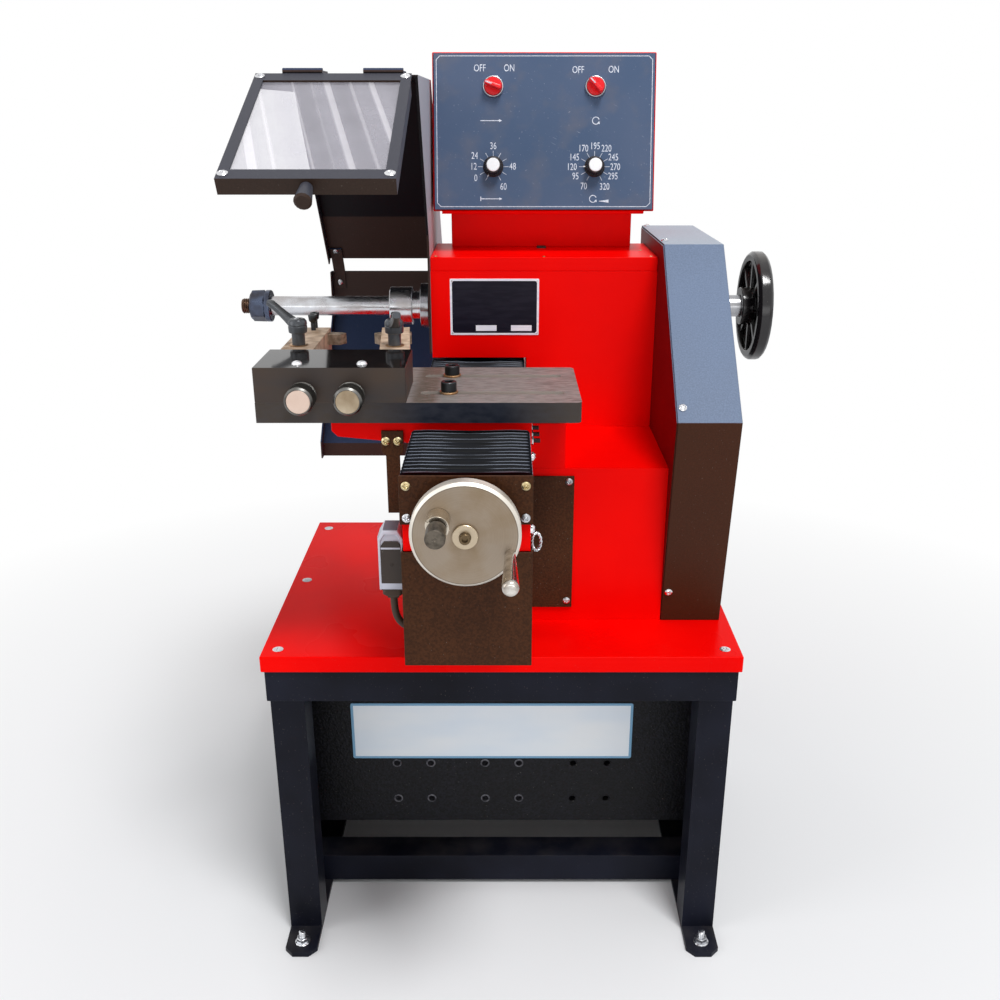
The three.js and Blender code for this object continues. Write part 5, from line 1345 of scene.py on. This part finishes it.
# Headstock: a red welded box that carries the spindle, with a lid screwed on top. A small black plug closes
# the oil hole in the lid.
dress("headstock", red_sheet, 0.0015)
dress("headstock_lid", red_sheet, 0.001)
lid_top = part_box("headstock_lid")[1].z
heads(
    "lid_screws",
    [
        ((x, y, lid_top), (0, 0, 1))
        for x, y in ((-0.0815, 0.131), (0.052, 0.1295), (0.1845, 0.131), (0.178, 0.190))
    ],
    0.0024, 0.0009, yellow_zinc,
)
plug_levels = [(0, 0), (0, 0.0022), (0.0005, 0.0027), (0.0012, 0.0027), (0.0014, 0.0023)]
plug_place = Matrix.Translation((0.0515, 0.2165, lid_top))
plug_slot = moved(plate_shape(0.0042, 0.0005, 0.0002, [(0, 0.0020), (0, 0.0028)]), plug_place)
build(
    "oil_plug", [moved(plate_shape(0.0062, 0.0032, 0.001, plug_levels), plug_place), plug_slot],
    cover_black,
)


# Machine plate: a dark printed sheet with a white border and two bare white fields, riveted to the
# headstock's front. It carries no words.
sign_left, sign_right, sign_low, sign_high = -0.0644, 0.0463, 0.725, 0.795
sign_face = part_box("headstock")[0].y
sign_middle = Vector(((sign_left + sign_right) / 2, sign_face, (sign_low + sign_high) / 2))
sign_half = ((sign_right - sign_left) / 2, (sign_high - sign_low) / 2)
sign_border, sign_corner, sign_thickness = 0.0026, 0.0048, 0.0009
field_half = (0.0130, 0.0036)
field_places = ((-0.0105, -0.0262), (0.0335, -0.0262))
sign_print = finish("sign_print", Roughness=0.35, Specular_IOR_Level=0.12)
spot = split(place(centre=sign_middle))
dark_field = within(spot["X"], spot["Z"], sign_half[0] - sign_border, sign_half[1] - sign_border)
diagonal = calc("ADD", calc("ABSOLUTE", spot["X"]), calc("ABSOLUTE", spot["Z"]))
dark_field = calc(
    "MINIMUM", dark_field, calc("SUBTRACT", sum(sign_half) - sign_border - sign_corner, diagonal)
)
dark_field = calc("GREATER_THAN", dark_field, 0.0)
for across, up in field_places:
    bare = within(calc("SUBTRACT", spot["X"], across), calc("SUBTRACT", spot["Z"], up), *field_half)
    dark_field = times(dark_field, calc("LESS_THAN", bare, 0.0))
rubbing = spread(grain(place(stretch=(6, 1, 1)), 0.004, 4.0), 0.4, 0.7)
sign_dark = mixed(rubbing, (17, 14, 28), (28, 25, 38))
sign_white = mixed(rubbing, (240, 238, 246), (220, 220, 236))
coat(Base_Color=mixed(dark_field, sign_white, sign_dark))
sign_shape = plate_shape(*sign_half, 0.0012, [(0, 0), (0, sign_thickness * 0.7), (0.0002, sign_thickness)])
build("machine_plate", moved(sign_shape, facing(sign_middle, to_front)), sign_print)
sign_rivet_inset = 0.0026
heads(
    "machine_plate_rivets",
    [
        (sign_middle + Vector((x, -sign_thickness, z)), to_front)
        for x in (-sign_half[0] + sign_rivet_inset, sign_half[0] - sign_rivet_inset)
        for z in (-sign_half[1] + sign_rivet_inset, sign_half[1] - sign_rivet_inset)
    ],
    0.0011, 0.0006, white_zinc,
)


# Spindle and arbor: the ground arbor screws into the spindle's nose. Work is clamped between its shoulder and
# a blackened flange nut on the threaded end, whose thread is brown with oil.
arbor_low, arbor_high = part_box("arbor")
spindle_y, spindle_z = (arbor_low.y + arbor_high.y) / 2, (arbor_low.z + arbor_high.z) / 2
spindle_steel = brushed(
    "spindle_steel", (0, spindle_y, spindle_z), (188, 190, 194), (160, 160, 164), (120, 106, 96), 0.2, 0.3
)
dress("spindle", spindle_steel, 0.0008)
dress("spindle_bearing_sleeve", turned_iron, 0.0008)


def along_spindle(x):
    """The placement of a piece turned about the spindle's line, whose local Z runs out to the left."""
    return facing((x, spindle_y, spindle_z), (-1, 0, 0))


arbor_root, arbor_tip = arbor_high.x, arbor_low.x
arbor_length = arbor_root - arbor_tip
arbor_thread_start, arbor_pitch, arbor_thread_radius = 0.196, 0.0025, 0.0100
arbor_profile = [
    (0, 0), (0, 0.0185), (0.0005, 0.019), (0.011, 0.019), (0.011, 0.0239), (0.0116, 0.0245),
    (0.0393, 0.0245), (0.04, 0.0238), (0.04, 0.0125), (0.08, 0.0125), (0.14, 0.0125),
    (arbor_thread_start - 0.0006, 0.0125), (arbor_thread_start, 0.0119),
    *threaded_run(arbor_thread_start, arbor_length - 0.0015, arbor_thread_radius, arbor_pitch),
    (arbor_length, arbor_thread_radius - 0.0015), (arbor_length, 0),
]
arbor_thread = thread(arbor_thread_start + 0.001, arbor_length - 0.001, arbor_pitch, 0.11)
arbor_steel = finish("arbor_steel", Metallic=1.0)
arbor_rings = use(turned_rings, X=arbor_root, Y=spindle_y, Z=spindle_z, Pitch=0.0004)
arbor_spot = split()
handled = spread(grain(place(stretch=(2, 1, 1)), 0.014, 6.0), 0.4, 0.72)
arbor_tone = mixed(arbor_rings["Tone"], (226, 228, 232), (198, 200, 206))
arbor_tone = mixed(times(handled, 0.5), arbor_tone, (150, 134, 122))
threaded_end = spread(
    arbor_spot["X"], arbor_root - arbor_thread_start, arbor_root - arbor_thread_start - 0.002
)
coat(Base_Color=mixed(threaded_end, arbor_tone, (112, 88, 72)))
coat(Roughness=spread(calc("MAXIMUM", handled, threaded_end), 0, 1, 0.18, 0.38))
coat(Normal=arbor_rings["Normal"])
build(
    "threaded_arbor", moved(lathe(arbor_profile, 96, arbor_thread), along_spindle(arbor_root)), arbor_steel,
    "spindle_assembly", "arbor",
)

nut_low, nut_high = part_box("arbor_nut")
nut_length = nut_high.x - nut_low.x
nut_flat, nut_flange, nut_flange_length, nut_bore = 0.018, 0.0205, 0.0080, 0.0105
nut_profile = [
    (0, nut_bore), (0, nut_flange - 0.0008), (0.0008, nut_flange), (nut_flange_length - 0.002, nut_flange),
    (nut_flange_length - 0.0012, nut_flange - 0.0004), (nut_flange_length, nut_flat * 1.02),
    (nut_flange_length + 0.0002, nut_flat), (nut_length - 0.0022, nut_flat),
    (nut_length - 0.0021, nut_flat), (nut_length, nut_flat * 0.93), (nut_length, nut_bore + 0.0012),
    (nut_length - 0.0005, nut_bore), (0, nut_bore),
]


def nut_facets(along, angle):
    """Six flats between the flange and the outer face, whose corners are cut back by a turned chamfer."""
    from_face = nut_length - along
    corner_cut = 1.05 + 0.105 * np.clip(from_face / 0.0035, 0, 1)
    hexed = np.minimum(hexagon(angle), corner_cut)
    return np.where((along > nut_flange_length + 0.0001) & (from_face > 0.0018), hexed, 1.0)


blued_steel = metal("blued_steel", (88, 98, 120), (58, 56, 62), 0.26, 0.85)
build(
    "flange_nut", moved(lathe(nut_profile, 96, nut_facets), along_spindle(nut_high.x)), blued_steel,
    "spindle_assembly", "arbor_nut", edge=0.0004,
)


# Handwheel: a spoked iron wheel in black enamel on the spindle's far end, for turning the work by hand. It
# is the frame's own solid, finished here.
wheel_enamel = sprayed(
    "wheel_enamel", (24, 22, 25), (34, 30, 32), 0.14, cell=0.004, lift=0.00004, dust=0.15, speck=0.2
)
dress("handwheel", wheel_enamel, 0.0012)


# Belt cover: folded sheet in black wrinkle paint, with a painted pale blue sky reflection on the faces that
# look up and painted shade on its sides. It closes over the upturned edges of its back plate and is screwed
# to it from the front and from above.
def sheet_paint(name, wall, slope, top, side, roughness=0.42, **plain):
    """Black sheet paint whose tone follows the way a face looks, as painted light and shade: wall upright,
    slope at half way, top flat, and side to the left or right. A fine wrinkle and slow clouds lie over all of
    them."""
    material = finish(name, **plain)
    skin = use(paint_skin, Cell=0.0016, Lift=0.00009)
    ways = split("Normal")
    # Painted light and shade: each facing gets the tone that the light gives it, not a tone of the paint
    # itself.
    tone = mixed(spread(ways["Z"], 0.3, 0.62), wall, slope)
    tone = mixed(spread(ways["Z"], 0.8, 0.97), tone, top)
    tone = mixed(spread(calc("ABSOLUTE", ways["X"]), 0.75, 0.95), tone, side)
    fine = spread(grain(place(), 0.0015, 2.0), 0.35, 0.7, -0.09, 0.11)
    drift = calc("ADD", spread(skin["Cloud"], 0, 1, 0.94, 1.04), fine)
    shade = add("VectorMath", {"operation": "SCALE"}, Vector=tone)
    wire(shade.inputs["Scale"], drift)
    dusted = mixed(times(skin["Speck"], 0.12), shade.outputs[0], (170, 164, 156))
    coat(Base_Color=dusted)
    coat(Roughness=spread(skin["Cloud"], 0, 1, roughness, roughness + 0.08))
    coat(Normal=skin["Normal"])
    return material


cover_paint = sheet_paint(
    "cover_paint", (67, 37, 22), (105, 120, 145), (160, 169, 182), (38, 36, 42), Specular_IOR_Level=0.12
)
# The back plate's red sides are a dark red painted shade.
back_plate_paint = sheet_paint(
    "back_plate_paint", (67, 37, 22), (105, 120, 145), (160, 169, 182), (104, 4, 8), Specular_IOR_Level=0.12
)
dress("belt_back_plate", back_plate_paint, 0.0006)
dress("belt_cover", cover_paint, 0.0008)
cover_screw_x = 0.1985
slope_out = Vector((0, -0.709, 0.705))
wall_out = Vector((0, -0.989, -0.145))
heads(
    "belt_cover_screws",
    [
        ((cover_screw_x, 0.119, 0.841), (0, 0, 1)), ((cover_screw_x, 0.292, 0.841), (0, 0, 1)),
        ((cover_screw_x + 0.001, -0.069, 0.6836), slope_out),
        ((cover_screw_x + 0.001, -0.0505, 0.4508), wall_out),
    ],
    0.0046, 0.0030, chrome,
)


# Control box: a red folded box on a neck that leans back behind the headstock, with a slate-coloured printed
# panel screwed over its front.
dress("control_box", red_sheet, 0.0012)
slate = finish("panel_slate_print", Specular_IOR_Level=0.15)
skin = use(paint_skin, Cell=0.0012, Lift=0.00002)
slate_tone = mixed(skin["Cloud"], (70, 88, 116), (80, 94, 120))
dust_film = spread(grain(place(), 0.028, 6.0), 0.5, 0.8)
slate_tone = mixed(times(dust_film, 0.3), slate_tone, (120, 112, 110))
scratch = grain(place(turn=(0, 0.5, 0), stretch=(30, 1, 1)), 0.0016, 1.0)
scratched = times(spread(scratch, 0.76, 0.80), 0.5)
slate_tone = mixed(scratched, slate_tone, (150, 158, 172))
coat(Base_Color=mixed(times(skin["Speck"], 0.3), slate_tone, (190, 194, 202)))
coat(Roughness=spread(skin["Cloud"], 0, 1, 0.38, 0.46))
coat(Normal=skin["Normal"])
dress("control_panel", slate, 0.0006)

panel_lean = math.radians(-12)
panel_foot = (0.052, 0.1635, 0.872)
panel_face = -0.0033
panel_half, panel_low, panel_high = 0.135, 0.002, 0.1861
panel_frame = Matrix.Translation(panel_foot) @ Matrix.Rotation(panel_lean, 4, "X")


def on_panel(across, up, turn=0.0, lift=0.0):
    """The placement of a mark on the panel, whose local Z stands out of the panel's face."""
    at = (across, panel_face - lift, up)
    return panel_frame @ facing(at, to_front) @ Matrix.Rotation(math.radians(turn), 4, "Z")


# Panel print: a thin white line round the edge with cut corners, tick marks round each knob, dial numbers,
# OFF and ON, and plain arrows for what each row works. All of it is screen ink a tenth of a millimetre thick.
ink_thickness = 0.00015
white_ink = finish("white_ink", Roughness=0.55, Specular_IOR_Level=0.3)
ink_wear = spread(grain(place(), 0.0022, 4.0), 0.35, 0.75)
coat(Base_Color=mixed(ink_wear, (226, 230, 240), (176, 184, 202)))

line_inset, line_cut, line_half = 0.0032, 0.0044, 0.00040
line_wide, line_tall = panel_half - line_inset, (panel_high - panel_low) / 2 - line_inset
line_corners = [
    (line_wide - line_cut, -line_tall), (line_wide, -line_tall + line_cut),
    (line_wide, line_tall - line_cut), (line_wide - line_cut, line_tall),
]
line_corners += [(-x, -y) for x, y in line_corners]


def strip(path, half_width):
    """A flat strip of ink along a path; its half width may change from point to point."""
    flat = np.array([(x, y, ink_thickness / 2) for x, y in path], float)
    return swept(flat, half_width, ink_thickness / 2, (0, 0, 1), 8, 0.4)


def written(words, height, narrow=0.72):
    """Each word as a flat mesh of ink, centred at its place on the panel."""
    shapes = []
    for text, across, up in words:
        script = bpy.data.curves.new("script", "FONT")
        script.body = text
        script.size = height / 0.7
        script.align_x, script.align_y = "CENTER", "CENTER"
        script.extrude = ink_thickness / 2
        script.resolution_u = 3
        holder = bpy.data.objects.new("script", script)
        mesh = bpy.data.meshes.new_from_object(holder)
        mesh.transform(on_panel(across, up) @ Matrix.Diagonal((narrow, 1, 1, 1)))
        shapes.append(mesh)
        bpy.data.objects.remove(holder)
        bpy.data.curves.remove(script)
    form = bmesh.new()
    for mesh in shapes:
        form.from_mesh(mesh)
        bpy.data.meshes.remove(mesh)
    bmesh.ops.remove_doubles(form, verts=form.verts, dist=1e-6)
    bmesh.ops.recalc_face_normals(form, faces=form.faces)
    return form


knob_u, selector_v, pot_v = 0.0625, 0.147, 0.053
switch_words = [
    ("OFF", -0.0788, 0.1686), ("ON", -0.0428, 0.1686), ("OFF", 0.0412, 0.1666), ("ON", 0.0846, 0.1670)
]
feed_scale = {
    "0": (-21.6, -13.7), "12": (-24.3, 0), "24": (-22.9, 12.9), "36": (0, 24.4), "48": (24, 0),
    "60": (12.6, -24),
}
spindle_scale = {
    "70": (-13, -23.5), "95": (-23.3, -11.5), "120": (-28, -0.5), "145": (-25, 11), "170": (-14, 21.5),
    "195": (0.5, 24.3), "220": (14.5, 21.5), "245": (23.2, 11), "270": (25.6, -0.5), "295": (23, -11.5),
    "320": (12.7, -24),
}
dial_words = [
    (number, centre + across / 1000, pot_v + up / 1000)
    for centre, scale in ((-knob_u, feed_scale), (knob_u, spindle_scale))
    for number, (across, up) in scale.items()
]
letter_height = 0.0082
script_form = written(switch_words + dial_words, letter_height)
script_mesh = bpy.data.meshes.new("panel_numbers")
script_form.to_mesh(script_mesh)
script_form.free()
script_mesh.materials.append(white_ink)
panel_numbers = bpy.data.objects.new("panel_numbers", script_mesh)
bpy.context.scene.collection.objects.link(panel_numbers)
belongs(panel_numbers)

line_middle = on_panel(0, (panel_low + panel_high) / 2)
panel_lines = [
    moved(strip(np.linspace(one, other, 3), line_half), line_middle)
    for one, other in zip(line_corners, line_corners[1:] + line_corners[:1])
]
tick_inner, tick_outer, tick_half = 0.0128, 0.0188, 0.00030
for centre in (-knob_u, knob_u):
    for tick in range(-150, 151, 30):
        sway = math.radians(tick)
        path = [(reach * math.sin(sway), reach * math.cos(sway)) for reach in (tick_inner, tick_outer)]
        panel_lines.append(moved(strip(path, tick_half), on_panel(centre, pot_v)))
arc = np.linspace(0.35, 2 * np.pi - 0.75, 28)
arc_radius, arrow_line, arrow_head = 0.0042, 0.0005, 0.0017
round_arrow = strip(np.stack([arc_radius * np.cos(arc), arc_radius * np.sin(arc)], -1), arrow_line)
arrow_tip = strip(
    [(0.0032, -0.0034), (0.0038, -0.0021), (0.0041, -0.0006)], (arrow_head, arrow_head / 2, 0.0001)
)
straight_arrow = strip([(-0.013, 0), (0, 0), (0.010, 0)], arrow_line)
straight_tip = strip([(0.010, 0), (0.0118, 0), (0.0136, 0)], (arrow_head, arrow_head / 2, 0.0001))
short_bar = strip([(-0.013, -0.0026), (-0.013, 0), (-0.013, 0.0026)], arrow_line)
wedge = strip([(0.0075, -0.0028), (0.0135, -0.0028), (0.0195, -0.0028)], (0.0002, 0.0010, 0.0020))
for across, up, arrows in (
    (-0.0653, 0.1075, (straight_arrow, straight_tip)), (0.0635, 0.1075, (round_arrow, arrow_tip)),
    (-0.0650, 0.0146, (straight_arrow, straight_tip, short_bar)),
    (0.0610, 0.0146, (round_arrow, arrow_tip, wedge)),
):
    panel_lines += [moved(shape, on_panel(across, up)) for shape in arrows]
build("panel_marks", panel_lines, white_ink)


# Selector switches: red moulded handles with a white line on the ridge. Each turns in a bright bezel that is
# fixed to the panel, and both stand at OFF.
selector_red = finish("selector_red", Roughness=0.28, Specular_IOR_Level=0.4)
moulding = spread(grain(place(), 0.004, 3.0), 0.3, 0.7)
coat(Base_Color=mixed(moulding, (226, 16, 26), (238, 34, 42)))
moulding_lift = times(grain(place(), 0.0008), 0.00001)
coat(Normal=raised(moulding_lift))
bezel_shape = lathe(
    [
        (0, 0.0108), (0, 0.0132), (0.0012, 0.0132), (0.0036, 0.0126), (0.0044, 0.0120), (0.0044, 0.0112),
        (0.0034, 0.0108), (0, 0.0108),
    ],
    96,
)
handle_disc = lathe(
    [
        (0.0002, 0), (0.0002, 0.0106), (0.0052, 0.0106), (0.0062, 0.0100), (0.0058, 0.0060),
        (0.0055, 0.003), (0.0055, 0),
    ],
    96,
)
ridge_levels = [(0, 0.0045), (0, 0.0128), (0.0007, 0.0144), (0.0016, 0.0150)]
ridge_shape = plate_shape(0.0031, 0.0112, 0.0028, ridge_levels, 9)
ridge_line = moved(plate_shape(0.0006, 0.0042, 0.0005, [(0, 0), (0, 0.0003)]), (0, 0.0060, 0.0150))
for switch, across, off_turn in (("feed_switch", -knob_u, 70), ("spindle_switch", knob_u, 45)):
    seat = on_panel(across, selector_v, off_turn)
    build(
        switch + "_handle", moved(together([handle_disc, ridge_shape]), seat), selector_red,
        switch, switch, edge=0.0004,
    )
    build(switch + "_line", moved(ridge_line, seat), white_ink, switch)
    build(switch + "_bezel", moved(bezel_shape, seat), white_zinc, edge=0.0003)


# Speed knobs: fluted knobs of black plastic, each with a white cap and a white pointer at its skirt. The
# left one sets the feed and the right one the spindle's speed.
knob_black = moulded("knob_black", (28, 22, 22), (40, 30, 28), 0.35)
cap_white = moulded("cap_white", (244, 244, 246), (230, 230, 234), 0.35, dust=0.05)
pot_profile = [
    (0, 0), (0, 0.0121), (0.0005, 0.0125), (0.0016, 0.0125), (0.0022, 0.0117), (0.0040, 0.0113),
    (0.0046, 0.0113), (0.0048, 0.0112), (0.0138, 0.0100), (0.0142, 0.0099), (0.0152, 0.0094),
    (0.0154, 0.0088), (0.0154, 0),
]
pot_shape = lathe(pot_profile, 288, straight_knurl(12, 0.08, 0.0047, 0.0140))
pot_cap = lathe(
    [(0.0150, 0), (0.0150, 0.0080), (0.0162, 0.0080), (0.0169, 0.0074), (0.0170, 0.004), (0.0170, 0)], 96
)
pointer = moved(plate_shape(0.0006, 0.0022, 0.0003, [(0, 0), (0, 0.0014)]), (0, 0.0118, 0.0012))
for pot, across, at_turn in (("feed_rate_knob", -knob_u, 150), ("spindle_speed_knob", knob_u, 90)):
    seat = on_panel(across, pot_v, at_turn)
    build(pot + "_body", moved(pot_shape, seat), knob_black, pot, pot, edge=0.0003)
    build(pot + "_cap", moved(together([pot_cap, pointer]), seat), cap_white, pot)


# Chip guard: a folded sheet hood with a lower guard under it, joined by a riveted strap, all in black
# wrinkle paint. The paler tone on the faces that look up and forward is a painted sky reflection, the hood's
# right cheek carries a painted highlight, and the hood's down-facing inside above a set height a painted
# shadow.
guard_paint = sheet_paint(
    "guard_paint", (58, 43, 38), (44, 58, 88), (70, 74, 84), (60, 60, 68), Specular_IOR_Level=0.15
)
hood_tone, _ = reopened(guard_paint)
hood_spot = split()
hood_ways = split("Normal")
shade_edge_height, cheek_inner = 0.848, -0.0915
# Painted shadow: the hood's faces that look down are darkened above shade_edge_height.
under = times(
    spread(hood_spot["Z"], shade_edge_height - 0.001, shade_edge_height + 0.001), spread(hood_ways["Z"], 0.0, -0.3)
)
hood_tone = mixed(under, hood_tone, (18, 16, 20))
# Painted highlight: the right cheek's faces that look to the right are painted pale.
cheek = times(calc("GREATER_THAN", hood_spot["X"], cheek_inner), spread(hood_ways["X"], 0.75, 0.95))
coat(Base_Color=mixed(cheek, hood_tone, (178, 182, 192)))
dress("guard_hood", guard_paint, 0.0008)
dress("guard_lower", guard_paint, 0.0008)
strap_rivet_places = [((-0.245, 0.4100, 0.7467), to_front), ((-0.2460, 0.3877, 0.7950), (0, -0.8, -0.6))]
heads("guard_strap_rivets", strap_rivet_places, 0.0042, 0.0022, white_zinc)


# Visor: a tray of sheet steel hinged to the hood's front edge, with a clear acrylic pane under its border, a
# chromed rivet in each corner and a turned knob on its lip to lift it by.
# The visor's tones follow the way each face looks, as painted light and shade.
visor_paint = sheet_paint(
    "visor_paint", (52, 37, 29), (56, 58, 68), (60, 60, 68), (70, 72, 80), Specular_IOR_Level=0.2
)
dress("visor_frame", visor_paint, 0.0009)
visor_hinge, visor_tilt = (0, 0.0095, 1.028), math.radians(25)
visor_rivet_columns, visor_rivet_rows = (-0.2520, -0.1000), (-0.0129, -0.2179)
visor_place = Matrix.Translation(visor_hinge) @ Matrix.Rotation(visor_tilt, 4, "X")
visor_out = visor_place.to_3x3() @ Vector((0, 0, 1))
heads(
    "visor_corner_rivets",
    [
        (visor_place @ Vector((x, y, 0)), visor_out)
        for x in visor_rivet_columns
        for y in visor_rivet_rows
    ],
    0.0052, 0.0030, chrome, "visor",
)

pane_acrylic = finish("pane_acrylic", Roughness=0.08, Specular_IOR_Level=0.5, IOR=1.49)
pane_spot = split(place(turn=(0, 0, 0.27)))
streak = spread(lined(pane_spot["X"], 70.0, 1.5), 0.56, 0.63)
broad = lined(pane_spot["X"], 26.0, 0.0)
cloudy = spread(grain(place(), 0.03, 4.0), 0.3, 0.7, -0.03, 0.03)
film = calc("ADD", spread(broad, 0.4, 0.6, 0.34, 0.42), times(streak, 0.05))
film = calc("ADD", film, cloudy)
pane_mark = grain(place(turn=(0.4, 0, 0.9), stretch=(25, 1, 1)), 0.0012, 1.0)
film = calc("ADD", film, times(spread(pane_mark, 0.75, 0.8), 0.15))
coat(Base_Color=mixed(streak, (194, 192, 203), (232, 230, 238)))
coat(Alpha=film)
dress("visor_pane", pane_acrylic, 0.0003)
